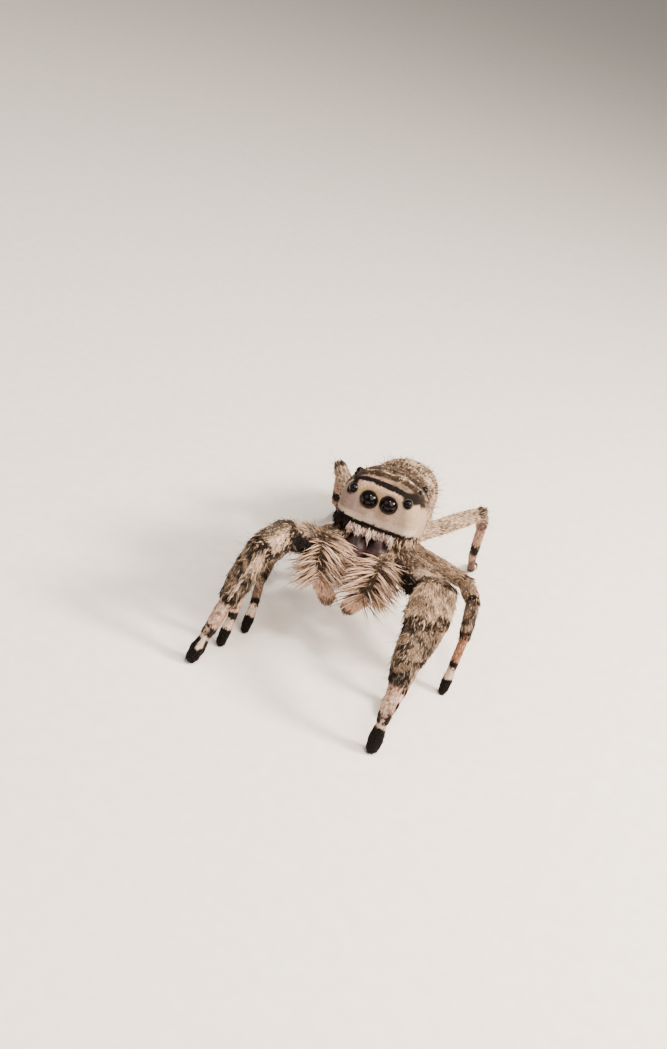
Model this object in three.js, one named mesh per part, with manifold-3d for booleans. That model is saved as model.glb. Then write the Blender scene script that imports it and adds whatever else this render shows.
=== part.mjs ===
// A large grey jumping spider, standing with its front legs spread and its body held high.
// Millimetres, +Z up, the floor at Z = 0. The spider faces -Y, and its left side is +X.
// The dimensions are laid out from the point under the fore body's middle.
// Every solid reaches to the tips of the coat, and neighbours are parted by a thin cut.
import * as THREE from "three";
import { mergeVertices } from "three/addons/utils/BufferGeometryUtils.js";
import Module from "manifold-3d";

const wasm = await Module();
wasm.setup();

// ---------- Driving dimensions ----------

const CUT = 0.03; // width of the thin cut between two neighbouring solids

// The fore body, in its own frame: its middle at 0, the face at -Y. FORE_RINGS gives its length.
const FORE_WIDTH = 5.05;
const FORE_RISE = 2.3; // from the widest level up to the crown
const FORE_FALL = 1.9; // from the widest level down to the breast plate
const FORE_HEIGHT = 6.62; // of its middle above the floor
const NOSE_UP = 12; // degrees
const LEFT_UP = 6; // degrees: it leans a little to its right
const TURN_LEFT = 2; // degrees: its face

// The abdomen, in its own frame: its front at -Y.
const ABDOMEN_LENGTH = 8;
const ABDOMEN_WIDTH = 4.5;
const ABDOMEN_DEPTH = 4.2;
const ABDOMEN_PLACE = [-0.85, 7.4, 3.95];
const ABDOMEN_DROOP = 13; // degrees, rear end down
const ABDOMEN_TRIM = 0.045; // share of its outline left off at each end, where the flat end caps are
const ABDOMEN_FULLNESS = 0.78; // below 1 its ends are blunter than an ellipse's
const ABDOMEN_SHOULDER = 0.1; // how much broader it is in front than behind
const ABDOMEN_ROUNDNESS = 2.1;
const ABDOMEN_SIDES = 24;
const ABDOMEN_RINGS = 12;

// The stalk between the two bodies: its ends in the fore body's and in the abdomen's frame.
const PEDICEL_RADIUS = 0.42;
const PEDICEL_FRONT = [0, 2.4, -0.6];
const PEDICEL_BACK = [0, -3.2, 0.1];

// The silk taps at the abdomen's rear end, in its frame: root, tip and radii for the left side.
const SPINNERETS = [
  { root: [0.3, 3.5, -0.75], tip: [0.5, 4.55, -0.85], radii: [0.3, 0.2] },
  { root: [0.25, 3.4, -0.3], tip: [0.32, 4.5, -0.25], radii: [0.28, 0.17] },
];
const SPINNERET_HUB = { root: [0, 3.3, -0.5], tip: [0, 4.15, -0.6], radii: [0.6, 0.42] };

// The eyes: the place across, up the face or along the crown, the radius, and how far the lens
// stands proud of the head's surface.
const EYES = {
  front_middle_eye: { across: 0.55, height: 1.05, radius: 0.49, proud: 0.33 },
  front_side_eye: { across: 1.52, height: 1.38, radius: 0.26, proud: 0.15 },
  small_side_eye: { across: 1.86, along: -1.75, radius: 0.13, proud: 0.07 },
  rear_side_eye: { across: 1.92, along: -0.75, radius: 0.24, proud: 0.13 },
};
const EYE_DETAIL = { front_middle_eye: 3, front_side_eye: 2, small_side_eye: 1, rear_side_eye: 2 };
const SOCKET_ROOM = 1.06; // a socket has few faces, so it is this much wider than its eye
const SIDE_EYE_TILT = 45; // degrees above level that the eyes on the crown's edge look

// Each leg pair: the hip in the fore body's frame for the left side, the length of each of its
// five segments, and the coat's radius at the start, swell and end of each.
const SEGMENTS = ["femur", "patella", "tibia", "metatarsus", "tarsus"];
const LEG_PAIRS = {
  1: {
    hip: [1.9, -2.7, -2.2],
    lengths: [4.0, 2.4, 2.9, 2.1, 1.6],
    radii: [[0.6, 0.92, 0.84], [0.82, 0.9, 0.76], [0.74, 0.78, 0.6], [0.56, 0.53, 0.48], [0.4, 0.45, 0.38]],
  },
  2: {
    hip: [2.2, -0.9, -2.2],
    lengths: [3.5, 2.1, 2.3, 1.9, 1.5],
    radii: [[0.52, 0.62, 0.56], [0.56, 0.62, 0.52], [0.52, 0.53, 0.42], [0.37, 0.36, 0.33], [0.3, 0.34, 0.3]],
  },
  3: {
    hip: [2.2, 0.5, -2.1],
    lengths: [3.4, 1.7, 1.9, 1.9, 1.4],
    radii: [[0.5, 0.55, 0.48], [0.48, 0.5, 0.42], [0.42, 0.42, 0.36], [0.33, 0.32, 0.3], [0.28, 0.33, 0.28]],
  },
  4: {
    hip: [1.85, 1.8, -1.4],
    lengths: [3.9, 1.9, 2.8, 2.5, 1.4],
    radii: [[0.52, 0.54, 0.44], [0.42, 0.43, 0.36], [0.34, 0.32, 0.3], [0.3, 0.29, 0.28], [0.27, 0.31, 0.26]],
  },
};

// The stance: for each segment its heading, degrees forward of straight out sideways, and its climb,
// degrees above level. The last climb isn't given: each tarsus drops until its foot is on the floor.
const STANCE = {
  left_1: { heading: [52, 81, 81, 85, 86], climb: [18, -22, -41, -66] },
  right_1: { heading: [59, 79, 67, 68, 68], climb: [21, -3, -65, -64] },
  left_2: { heading: [38, 77, 103, 102, 95], climb: [5, -20, -55, -69] },
  right_2: { heading: [52, 85, 86, 86, 86], climb: [-1, 8, -34, -82] },
  left_3: { heading: [16, 59, 73, 87, 89], climb: [1, -2, -49, -70] },
  right_3: { heading: [22, 85, 99, 107, 97], climb: [-31, -5, -11, -20] },
  left_4: { heading: [-45, -82, -88, -90, -90], climb: [21, -45, -72, -48] },
  right_4: { heading: [-49, -82, -86, -88, -88], climb: [12, -40, -64, -37] },
};
const FOOT_SINK = 0.05; // how deep each foot's round tip reaches below the floor before it is cut flat
const FOOT_PASSES = 4; // the climb and the tip's depth depend on each other, so they are worked out in turns
const FLOOR_SLAB = [60, 60, 4]; // the block under the floor's level that cuts those flats
const COXA_START = [0.6, 0.8, 0.75]; // where a coxa starts, as shares of its hip's place in the fore body
const COXA_SWELL = 1.04; // of the coxa's radius where it bends into the femur
const SHOULDER_AT = 0.25; // share along a segment where it has nearly reached its full thickness
const SWELL_AT = 0.6; // share along it where it is thickest
const LEG_SIDES = { 1: 12, 2: 10, 3: 10, 4: 10 };
const TIP_REACH = 0.55; // a rounded end's last ring: how far out it lies, as a share of the radius
const TIP_RADIUS = 0.6; // and its own radius, as a share of the same

// The feelers beside the mouth, in the mouth's frame for the left side, and their radii.
const PALP_POINTS = [
  [1.35, -2.4, -1.5],
  [1.5, -3.6, -1.75],
  [1.62, -4.9, -1.85],
  [1.25, -4.7, -3.4],
  [0.61, -3.9, -4.82],
];
const PALP_RADII = [0.38, 0.46, 0.56, 0.6, 0.42];
const PALP_BEND = 0.5; // share of its length where the feeler's upper part ends and its tip part starts
const PALP_STEPS = 3; // stretches along each of the two parts

// The jaws below the face, and their fangs, in the fore body's frame for the left side.
const JAW_POINTS = [[0.6, -2.5, -0.6], [0.63, -2.9, -2.0], [0.66, -3.0, -3.0]];
const JAW_RADII = [0.52, 0.59, 0.58, 0.44];
const FANG_POINTS = [[0.74, -3.08, -3.2], [0.6, -3.0, -3.55], [0.26, -2.75, -3.6]];
const FANG_RADII = [0.17, 0.13, 0.05];
const JAW_SIDES = 12;
const FANG_SIDES = 8;

// ---------- Solids ----------

const radians = THREE.MathUtils.degToRad;
const mirrored = ([x, y, z], side) => new THREE.Vector3(side * x, y, z);

function toSolid(geometry) {
  const bare = geometry.index ? geometry.toNonIndexed() : geometry.clone();
  bare.deleteAttribute("normal");
  bare.deleteAttribute("uv");
  const merged = mergeVertices(bare, 1e-5);
  return new wasm.Manifold(
    new wasm.Mesh({
      numProp: 3,
      vertProperties: merged.attributes.position.array,
      triVerts: new Uint32Array(merged.index.array),
    }),
  );
}

function toGeometry(solid) {
  const { vertProperties, triVerts } = solid.getMesh();
  const geometry = new THREE.BufferGeometry();
  geometry.setAttribute("position", new THREE.BufferAttribute(new Float32Array(vertProperties), 3));
  geometry.setIndex(new THREE.BufferAttribute(new Uint32Array(triVerts), 1));
  geometry.computeVertexNormals();
  return geometry;
}

// Rings of equal count become one closed surface, with a flat fan at each end.
// Each ring runs anticlockwise as seen from the ring after it.
function loft(rings) {
  const count = rings[0].length;
  const positions = rings.flat();
  const indices = [];
  for (let ring = 0; ring + 1 < rings.length; ring++) {
    for (let side = 0; side < count; side++) {
      const a = ring * count + side;
      const b = ring * count + ((side + 1) % count);
      indices.push(a, b, b + count, a, b + count, a + count);
    }
  }
  const last = (rings.length - 1) * count;
  const centreOf = (ring) => ring.reduce((sum, p) => sum.add(p), new THREE.Vector3()).divideScalar(count);
  positions.push(centreOf(rings[0]), centreOf(rings.at(-1)));
  for (let side = 0; side < count; side++) {
    const next = (side + 1) % count;
    indices.push(positions.length - 2, next, side);
    indices.push(positions.length - 1, last + side, last + next);
  }
  const geometry = new THREE.BufferGeometry().setFromPoints(positions);
  geometry.setIndex(indices);
  return geometry;
}

// A ring across the body at one place along it: a rounded box, higher above its widest level or below it.
function bodyRing(y, halfWidth, rise, fall, roundness, sides) {
  const ring = [];
  const bend = (value) => Math.sign(value) * Math.abs(value) ** (2 / roundness);
  for (let side = 0; side < sides; side++) {
    const angle = (2 * Math.PI * side) / sides;
    const lift = bend(Math.sin(angle));
    ring.push(new THREE.Vector3(halfWidth * bend(Math.cos(angle)), y, lift * (lift > 0 ? rise : fall)));
  }
  return ring;
}

// A tapering round limb through its stops; each has a centre, a radius, the direction that the limb
// takes there, a sideways direction, and the normal of the plane that its ring lies in.
function limb(stops, sides) {
  return loft(
    stops.map(({ centre, radius, along, aside, plane }) => {
      const upward = aside.clone().cross(along).negate();
      const ring = [];
      for (let side = 0; side < sides; side++) {
        const angle = (2 * Math.PI * (side + 0.5)) / sides;
        const out = aside.clone().multiplyScalar(radius * Math.cos(angle));
        out.addScaledVector(upward, radius * Math.sin(angle));
        out.addScaledVector(along, -out.dot(plane) / along.dot(plane));
        ring.push(out.add(centre));
      }
      return ring;
    }),
  );
}

// A stretch of a limb along a smooth curve, with the radii spread evenly along the whole curve.
// An end that isn't rounded is flat, half a cut short of its place.
function curvedLimb(points, radii, { from = 0, to = 1, steps = 5, sides = 10, rounded = [true, true] } = {}) {
  const curve = new THREE.CatmullRomCurve3(points);
  const stops = [];
  for (let step = 0; step <= steps; step++) {
    const share = THREE.MathUtils.lerp(from, to, step / steps);
    const along = curve.getTangent(share);
    const aside = new THREE.Vector3(1, 0, 0).addScaledVector(along, -along.x).normalize();
    const place = share * (radii.length - 1);
    const station = Math.min(Math.floor(place), radii.length - 2);
    const radius = THREE.MathUtils.lerp(radii[station], radii[station + 1], place - station);
    stops.push({ centre: curve.getPoint(share), radius, along, aside, plane: along });
  }
  const before = rounded[0] ? [roundedEnd(stops[0], -1)] : [];
  const after = rounded[1] ? [roundedEnd(stops.at(-1), 1)] : [];
  if (!rounded[0]) stops[0].centre.addScaledVector(stops[0].along, CUT / 2);
  if (!rounded[1]) stops.at(-1).centre.addScaledVector(stops.at(-1).along, -CUT / 2);
  return limb([...before, ...stops, ...after], sides);
}

// One smaller ring beyond a stop, which rounds the end off.
function roundedEnd(stop, sense) {
  const centre = stop.centre.clone().addScaledVector(stop.along, sense * TIP_REACH * stop.radius);
  return { ...stop, centre, plane: stop.along, radius: TIP_RADIUS * stop.radius };
}

function ball(centre, radius, detail) {
  return new THREE.IcosahedronGeometry(radius, detail).translate(...centre.toArray());
}

// ---------- Materials ----------

function finish(color, roughness, metalness = 0) {
  return new THREE.MeshStandardMaterial({ color, roughness, metalness });
}

const greyCoat = () => finish(0xa89a8a, 0.85);
const whiteCoat = () => finish(0xd9cdbd, 0.8);
const darkCoat = () => finish(0x3a332f, 0.7);
const eyeLens = () => finish(0x0a0809, 0.05);
const jawShell = () => finish(0x4a3550, 0.25, 0.6);
const fangShell = () => finish(0x1c1210, 0.2);

// ---------- Fore body and head ----------

// From the rear to the face: place along, then shares of the width, rise and fall, and the roundness.
const FORE_RINGS = [
  [3.22, 0.2, 0.12, 0.34, 2.0],
  [2.95, 0.46, 0.38, 0.62, 2.1],
  [2.4, 0.73, 0.64, 0.86, 2.2],
  [1.6, 0.92, 0.88, 0.97, 2.3],
  [0.6, 1.0, 1.0, 1.0, 2.4],
  [-0.6, 1.01, 1.03, 0.97, 2.6],
  [-1.8, 0.97, 1.02, 0.9, 2.8],
  [-2.6, 0.9, 0.96, 0.74, 2.9],
  [-3.02, 0.8, 0.86, 0.55, 2.9],
  [-3.18, 0.68, 0.74, 0.42, 2.8],
];
const FORE_SIDES = 28;

// The fore body's shape; a grown one clears room round it in its neighbours.
function foreBodySolid(grow) {
  const rings = FORE_RINGS.map(([y, width, rise, fall, roundness]) => {
    const half = (FORE_WIDTH / 2) * width + grow;
    const up = FORE_RISE * rise + grow;
    const down = FORE_FALL * fall + grow;
    return bodyRing(y + grow * Math.sign(y), half, up, down, roundness, FORE_SIDES);
  });
  return toSolid(loft(rings));
}

// Height of the crown's surface at a place across and along it.
function crownHeight(across, along) {
  const ahead = FORE_RINGS.findIndex(([y]) => y < along);
  const [near, far] = [FORE_RINGS[ahead - 1], FORE_RINGS[ahead]];
  const mix = (column) => THREE.MathUtils.mapLinear(along, near[0], far[0], near[column], far[column]);
  const roundness = mix(4);
  return FORE_RISE * mix(2) * (1 - (across / ((FORE_WIDTH / 2) * mix(1))) ** roundness) ** (1 / roundness);
}

// How far forward the face reaches at a place across and up it.
function facePlace(across, height) {
  const reached = FORE_RINGS.map(([y, width, rise, , roundness]) => {
    const acrossShare = across / ((FORE_WIDTH / 2) * width);
    const heightShare = height / (FORE_RISE * rise);
    return { y, spread: acrossShare ** roundness + heightShare ** roundness };
  });
  const inner = reached.findLastIndex(({ spread }) => spread < 1);
  if (inner === reached.length - 1) return reached[inner].y;
  const [near, far] = [reached[inner], reached[inner + 1]];
  return THREE.MathUtils.mapLinear(1, near.spread, far.spread, near.y, far.y);
}

// An eye's middle lies below the head's surface, so that it stands proud by the given height.
function eyeCentre(eye, side) {
  const sunk = eye.radius - eye.proud;
  if (eye.height !== undefined) {
    return new THREE.Vector3(side * eye.across, facePlace(eye.across, eye.height) + sunk, eye.height);
  }
  const surface = new THREE.Vector3(side * eye.across, eye.along, crownHeight(eye.across, eye.along));
  const tilt = radians(SIDE_EYE_TILT);
  const outward = new THREE.Vector3(side * Math.cos(tilt), 0, Math.sin(tilt));
  return surface.addScaledVector(outward, -sunk);
}

// ---------- Legs ----------

function segmentDirection(side, heading, climb) {
  const [turn, lift] = [radians(heading), radians(climb)];
  const reach = Math.cos(lift);
  return new THREE.Vector3(side * Math.cos(turn) * reach, -Math.sin(turn) * reach, Math.sin(lift));
}

// How steeply a tarsus drops so that its rounded tip just sinks into the floor.
function footClimb(startHeight, length, radius) {
  let climb = 0;
  for (let pass = 0; pass < FOOT_PASSES; pass++) {
    const brim = radius * Math.cos(climb);
    const tip = TIP_RADIUS * brim - TIP_REACH * radius * Math.sin(climb);
    climb = Math.asin(Math.max(-1, (Math.max(brim, tip) - FOOT_SINK - startHeight) / length));
  }
  return THREE.MathUtils.radToDeg(climb);
}

// A leg's joints from the hip to the foot, with each segment's direction and level sideways axis.
function legLine(hip, side, lengths, stance, footRadius) {
  const joints = [hip];
  const directions = [];
  const asides = [];
  lengths.forEach((length, index) => {
    const start = joints.at(-1);
    const climb = stance.climb[index] ?? footClimb(start.z, length, footRadius);
    const along = segmentDirection(side, stance.heading[index], climb);
    const turn = radians(stance.heading[index]);
    directions.push(along);
    asides.push(new THREE.Vector3(side * Math.sin(turn), Math.cos(turn), 0));
    joints.push(start.clone().addScaledVector(along, length));
  });
  return { joints, directions, asides };
}

const halfway = (a, b) => a.clone().add(b).normalize();

// One segment: its end rings lie in the planes that halve the bends, so neighbours meet face to face.
function segmentStops(line, index, radii) {
  const [start, swell, end] = radii;
  const along = line.directions[index];
  const aside = line.asides[index];
  const from = line.joints[index].clone().addScaledVector(along, CUT / 2);
  const to = line.joints[index + 1].clone().addScaledVector(along, -CUT / 2);
  const startPlane = index > 0 ? halfway(line.directions[index - 1], along) : along;
  const endPlane = index < 4 ? halfway(along, line.directions[index + 1]) : along;
  const shape = [[0, start], [SHOULDER_AT, (start + 3 * swell) / 4], [SWELL_AT, swell], [1, end]];
  return shape.map(([share, radius]) => ({
    centre: from.clone().lerp(to, share),
    radius,
    along,
    aside,
    plane: startPlane.clone().lerp(endPlane, share).normalize(),
  }));
}

// The coxa leads from under the body to the hip, and is one piece with the femur.
function coxaStops(line, root, radius) {
  const along = line.joints[0].clone().sub(root).normalize();
  const bend = halfway(along, line.directions[0]);
  const aside = line.asides[0];
  const square = (axis) => aside.clone().addScaledVector(axis, -axis.dot(aside)).normalize();
  return [
    { centre: root, radius, along, aside: square(along), plane: along },
    { centre: line.joints[0], radius: COXA_SWELL * radius, along: bend, aside: square(bend), plane: bend },
  ];
}

const SEGMENT_COATS = [greyCoat, whiteCoat, greyCoat, whiteCoat, darkCoat];

function legSolids(pair, side, stance, hip, root) {
  const { lengths, radii } = LEG_PAIRS[pair];
  const line = legLine(hip, side, lengths, stance, radii.at(-1).at(-1));
  const solids = SEGMENTS.map((segment, index) => {
    let stops = segmentStops(line, index, radii[index]);
    if (index === 0) stops = [...coxaStops(line, root, radii[0][0]), ...stops.slice(1)];
    if (index === 4) stops.push(roundedEnd(stops.at(-1), 1));
    return toSolid(limb(stops, LEG_SIDES[pair]));
  });
  return { solids, joints: line.joints };
}

// ---------- Assembly ----------

const spider = new THREE.Group();

function addFrame(place, turns) {
  const frame = new THREE.Group();
  frame.position.set(...place);
  frame.rotation.set(...turns.map(radians));
  frame.updateMatrix();
  spider.add(frame);
  return frame;
}

function addPart(frame, name, solid, material, place = [0, 0, 0]) {
  const mesh = new THREE.Mesh(toGeometry(solid), material);
  mesh.name = name;
  mesh.position.set(...place);
  frame.add(mesh);
}

const inWorld = (solid, frame) => solid.transform(frame.matrix.toArray());
const clearOf = (solid, others) => others.reduce((left, other) => left.subtract(other), solid);
const SIDES = { left: 1, right: -1 };

const fore = addFrame([0, 0, FORE_HEIGHT], [-NOSE_UP, -LEFT_UP, TURN_LEFT]);
const mouth = addFrame([0, 0, FORE_HEIGHT], [-NOSE_UP, 0, 0]);
const rear = addFrame(ABDOMEN_PLACE, [-ABDOMEN_DROOP, 0, 0]);

function addHead() {
  const sockets = [];
  for (const [sideName, side] of Object.entries(SIDES)) {
    for (const [name, eye] of Object.entries(EYES)) {
      const centre = eyeCentre(eye, side);
      const detail = EYE_DETAIL[name];
      addPart(fore, `${sideName}_${name}`, toSolid(ball(centre, eye.radius, detail)), eyeLens());
      sockets.push(toSolid(ball(centre, SOCKET_ROOM * eye.radius + CUT, 1)));
    }
  }
  addPart(fore, "cephalothorax", clearOf(foreBodySolid(0), sockets), greyCoat());
}

function jawSolid(side, grow) {
  const points = JAW_POINTS.map((point) => mirrored(point, side));
  const radii = JAW_RADII.map((radius) => radius + grow);
  return toSolid(curvedLimb(points, radii, { sides: JAW_SIDES }));
}

// The feelers hang straight down though the head leans, so they have a frame of their own.
function palpSolids(side, grow) {
  const points = PALP_POINTS.map((point) => mirrored(point, side));
  const radii = PALP_RADII.map((radius) => radius + grow);
  const upper = curvedLimb(points, radii, { to: PALP_BEND, steps: PALP_STEPS, rounded: [false, false] });
  const lower = curvedLimb(points, radii, { from: PALP_BEND, steps: PALP_STEPS, rounded: [false, true] });
  return [toSolid(upper), toSolid(lower)];
}

function addJaws() {
  const body = foreBodySolid(CUT);
  for (const [sideName, side] of Object.entries(SIDES)) {
    const fangPoints = FANG_POINTS.map((point) => mirrored(point, side));
    const fang = toSolid(curvedLimb(fangPoints, FANG_RADII, { sides: FANG_SIDES }));
    addPart(fore, `${sideName}_chelicera`, clearOf(jawSolid(side, 0), [body]), jawShell());
    addPart(fore, `${sideName}_fang`, clearOf(fang, [jawSolid(side, CUT)]), fangShell());
  }
}

function addPalps() {
  const intoMouth = mouth.matrix.clone().invert().multiply(fore.matrix).toArray();
  const headAndJaws = [foreBodySolid(CUT), jawSolid(1, CUT), jawSolid(-1, CUT)];
  const nearby = headAndJaws.map((solid) => solid.transform(intoMouth));
  for (const [sideName, side] of Object.entries(SIDES)) {
    const [upper, lower] = palpSolids(side, 0);
    addPart(mouth, `${sideName}_palp_upper`, clearOf(upper, nearby), whiteCoat());
    addPart(mouth, `${sideName}_palp_lower`, clearOf(lower, nearby), whiteCoat());
  }
}

// A slab under the floor's level cuts each foot's tip to a flat.
function floorBlock() {
  return toSolid(new THREE.BoxGeometry(...FLOOR_SLAB).translate(0, 0, -FLOOR_SLAB[2] / 2));
}

function addLegs() {
  const body = inWorld(foreBodySolid(CUT), fore);
  const floor = floorBlock();
  for (const [sideName, side] of Object.entries(SIDES)) {
    const palps = palpSolids(side, CUT).map((solid) => inWorld(solid, mouth));
    const besideMouth = [inWorld(jawSolid(side, CUT), fore), ...palps];
    for (const pair of Object.keys(LEG_PAIRS)) {
      const hipPlace = mirrored(LEG_PAIRS[pair].hip, side);
      const rootPlace = hipPlace.clone().multiply(new THREE.Vector3(...COXA_START));
      const hip = hipPlace.applyMatrix4(fore.matrix);
      const root = rootPlace.applyMatrix4(fore.matrix);
      const { solids, joints } = legSolids(pair, side, STANCE[`${sideName}_${pair}`], hip, root);
      const leg = addFrame(hip.toArray(), [0, 0, 0]);
      solids.forEach((solid, index) => {
        const place = joints[index].clone().sub(hip).toArray();
        const cut = clearOf(solid, index === 0 ? [body, ...besideMouth] : [floor]);
        const local = cut.translate(...joints[index].toArray().map((value) => -value));
        addPart(leg, `${sideName}_leg_${pair}_${SEGMENTS[index]}`, local, SEGMENT_COATS[index](), place);
      });
    }
  }
}

// The abdomen is broadest ahead of its middle and narrows to the silk taps.
function abdomenSolid(grow) {
  const rings = [];
  const last = ABDOMEN_RINGS - 1;
  for (let ring = 0; ring <= last; ring++) {
    const turn = Math.PI * THREE.MathUtils.lerp(ABDOMEN_TRIM, 1 - ABDOMEN_TRIM, ring / last);
    const share = Math.sin(turn) ** ABDOMEN_FULLNESS * (1 - ABDOMEN_SHOULDER * Math.cos(turn));
    const half = (ABDOMEN_WIDTH / 2) * share + grow;
    const rise = (ABDOMEN_DEPTH / 2) * share + grow;
    const y = (ABDOMEN_LENGTH / 2 + grow) * Math.cos(turn);
    rings.push(bodyRing(y, half, rise, rise, ABDOMEN_ROUNDNESS, ABDOMEN_SIDES));
  }
  return toSolid(loft(rings));
}

function spinneretSolid() {
  const cone = ({ root, tip, radii }, side) =>
    toSolid(curvedLimb([mirrored(root, side), mirrored(tip, side)], radii, { steps: 2, sides: 8 }));
  const taps = Object.values(SIDES).flatMap((side) => SPINNERETS.map((tap) => cone(tap, side)));
  return taps.reduce((all, tap) => all.add(tap), cone(SPINNERET_HUB, 1));
}

function addAbdomen() {
  const grown = abdomenSolid(CUT);
  const stalkEnds = [
    new THREE.Vector3(...PEDICEL_FRONT).applyMatrix4(fore.matrix),
    new THREE.Vector3(...PEDICEL_BACK).applyMatrix4(rear.matrix),
  ];
  const stalk = toSolid(curvedLimb(stalkEnds, [PEDICEL_RADIUS, PEDICEL_RADIUS], { steps: 2 }));
  const neighbours = [inWorld(foreBodySolid(CUT), fore), inWorld(grown, rear)];
  addPart(spider, "pedicel", clearOf(stalk, neighbours), darkCoat());
  addPart(rear, "abdomen", abdomenSolid(0), greyCoat());
  addPart(rear, "spinnerets", clearOf(spinneretSolid(), [grown]), darkCoat());
}

// The row's origin is on the floor, under the middle of the whole spider.
function centreOverFloor() {
  const box = new THREE.Box3().setFromObject(spider, true);
  const middle = box.getCenter(new THREE.Vector3());
  spider.position.set(-middle.x, -middle.y, 0);
}

addHead();
addJaws();
addPalps();
addLegs();
addAbdomen();
centreOverFloor();

export default spider;
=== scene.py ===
# A large grey jumping spider in life size, as a museum shows one.
# One skin replaces the solids of flesh, a coat of small solid tufts covers it, and the eyes, jaws and
# fangs are pieces of their own. Lengths are millimetres, and each mesh becomes metres at its end.
import math

import bpy
import numpy as np
from mathutils import Euler, Matrix, Vector, noise
from mathutils.bvhtree import BVHTree


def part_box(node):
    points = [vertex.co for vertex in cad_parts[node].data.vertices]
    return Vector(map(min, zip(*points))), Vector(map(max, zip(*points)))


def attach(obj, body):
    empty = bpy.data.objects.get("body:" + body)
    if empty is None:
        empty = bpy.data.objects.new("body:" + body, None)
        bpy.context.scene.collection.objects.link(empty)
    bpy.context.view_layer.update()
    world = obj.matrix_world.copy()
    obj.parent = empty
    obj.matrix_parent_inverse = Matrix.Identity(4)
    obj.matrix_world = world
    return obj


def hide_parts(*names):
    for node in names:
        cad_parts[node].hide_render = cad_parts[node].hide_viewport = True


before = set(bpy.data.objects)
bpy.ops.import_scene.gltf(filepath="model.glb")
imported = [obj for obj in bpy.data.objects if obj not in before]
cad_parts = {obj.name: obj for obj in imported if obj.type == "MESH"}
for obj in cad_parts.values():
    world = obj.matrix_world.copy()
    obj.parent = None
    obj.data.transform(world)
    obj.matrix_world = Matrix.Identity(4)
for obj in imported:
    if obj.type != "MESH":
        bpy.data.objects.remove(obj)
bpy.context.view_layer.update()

MM = 0.001
SEED = 7

# ---------- Dimensions ----------

# The camera: turned to the spider's left, above it and rolled, at its distance from the front eyes.
CAMERA_TURN = 13.0
CAMERA_RISE = 30.0
CAMERA_ROLL = 17.5
CAMERA_DISTANCE = 70.12
CAMERA_ASIDE = -1.95
CAMERA_ABOVE = -1.87
CAMERA_LENS = 45.33
NEAREST_SEEN = 1.0  # from the lens

# The studio's lights are round and look at the head: degrees to its left and above it, distance,
# width, watts and colour. The sky and the window show as two small highlights in the eyes.
LIGHTS = {
    "key": (62, 46, 115, 110, 0.26, "#ffead6"),
    "window": (101, 36, 120, 32, 0.4, "#fff0e2"),
    "sky": (38, 80, 120, 24, 0.12, "#fff4e8"),
    "fill": (-45, 40, 130, 110, 0.08, "#fff4ec"),
}
ROOM_COLOUR = "#efe9e2"
ROOM_LIGHT = 0.35
FLOOR_SIZE = 2000.0

# The head's own frame, read from the eyes.
EYE_LINE_DROP = 17.48  # degrees that the line from the rear eyes to the front ones drops to the face
EYES_AHEAD = 3.02  # of the fore body's middle
EYES_ABOVE = 1.05

# The skin lies this far inside the solids.
TRUNK_DEPTH = {"head": 0.07, "abdomen": 0.12, "stalk": 0.07, "taps": 0.05}
LIMB_DEPTH_SHARE = {"upper": 0.12, "lower": 0.1, "femur": 0.12, "patella": 0.09, "tibia": 0.1,
                    "metatarsus": 0.12, "tarsus": 0.1}
WAIST = {"metatarsus": (0.16, 4.0), "tarsus": (0.34, 0.5)}  # depth and the share of length it reaches
HIND_WAIST = 0.3  # what the legs behind the first pair have of that depth
MEETING_GAP = 0.1  # corners of two neighbours nearer than this face each other across a cut
JOINT_OVERLAP = 0.06
EMBED = 0.5  # how far a limb's or jaw's root is sunk into what carries it
LIMB_RING = (1.0, 2.4)  # distances from a limb's first joint between which its direction is read

# Each smooth surface is remade on a grid of this size and then smoothed so many times.
SKIN_VOXEL = 0.095
SKIN_SMOOTHING = 6
# The skin keeps only part of its markings' brightness: painted shade from the coat over it.
SKIN_PAINTED_SHADE = 0.45  # how bright the skin is under its coat
JAW_VOXEL = 0.05
JAW_SMOOTHING = 16
JAW_SWELL = 0.09  # closes the cleft between the jaws
FANG_VOXEL = 0.02
FANG_SMOOTHING = 4

# The lenses and their rims.
LENS_BULGE = 0.05  # how much higher a lens stands than a ball, as a share
RIM_THICKNESS = 0.02  # half of a rim's thickness, before the share of the eye's radius that it adds
RIM_SHARE = 0.04
LEAST_RIM = 0.2  # the least square of a rim's radius, as a share of the eye's squared

SEGMENTS = ["femur", "patella", "tibia", "metatarsus", "tarsus"]
SIDES = {"left": 1, "right": -1}
EYES = ["front_middle_eye", "front_side_eye", "small_side_eye", "rear_side_eye"]

# ---------- The coat ----------

# The coat's unwrap: two large cells for the bodies over a grid of small ones for the other parts.
PATCH = 0.003  # width of a tuft's patch
CELL_MARGIN = 0.02  # left free round a cell, as a share of it
SMALL_COLUMNS = 8
SMALL_ROWS = 12

# The head's regions, in its own frame: x to its left, y back and z up from its middle.
CROWN_BOTTOM = 1.1
FACE_BOTTOM = -1.2
FACE_BACK = -0.9  # how far back the face's coat reaches under the crown
FOREHEAD_BACK = -2.4  # and above it

# The lie of the coat. On the flanks it falls and spreads a little; on the face it falls from the
# crown's edge and parts at the middle line.
FLANK_FALL = 0.25
FLANK_SPREAD = 0.12
FACE_TURN = (-2.35, -2.85)  # y, where the lie turns from the crown's to the face's
BROW_TURN = (1.15, 1.6)  # z, over which the face's hairs stand up instead of hanging
FACE_PARTING = 0.35
BROW_PARTING = 0.2
EYE_TURN = (1.7, 1.15)  # radii of an eye, between which the coat turns away from its lens
LENS_CLEARANCE = 1.03  # radii of an eye that stay clear of tufts

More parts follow.
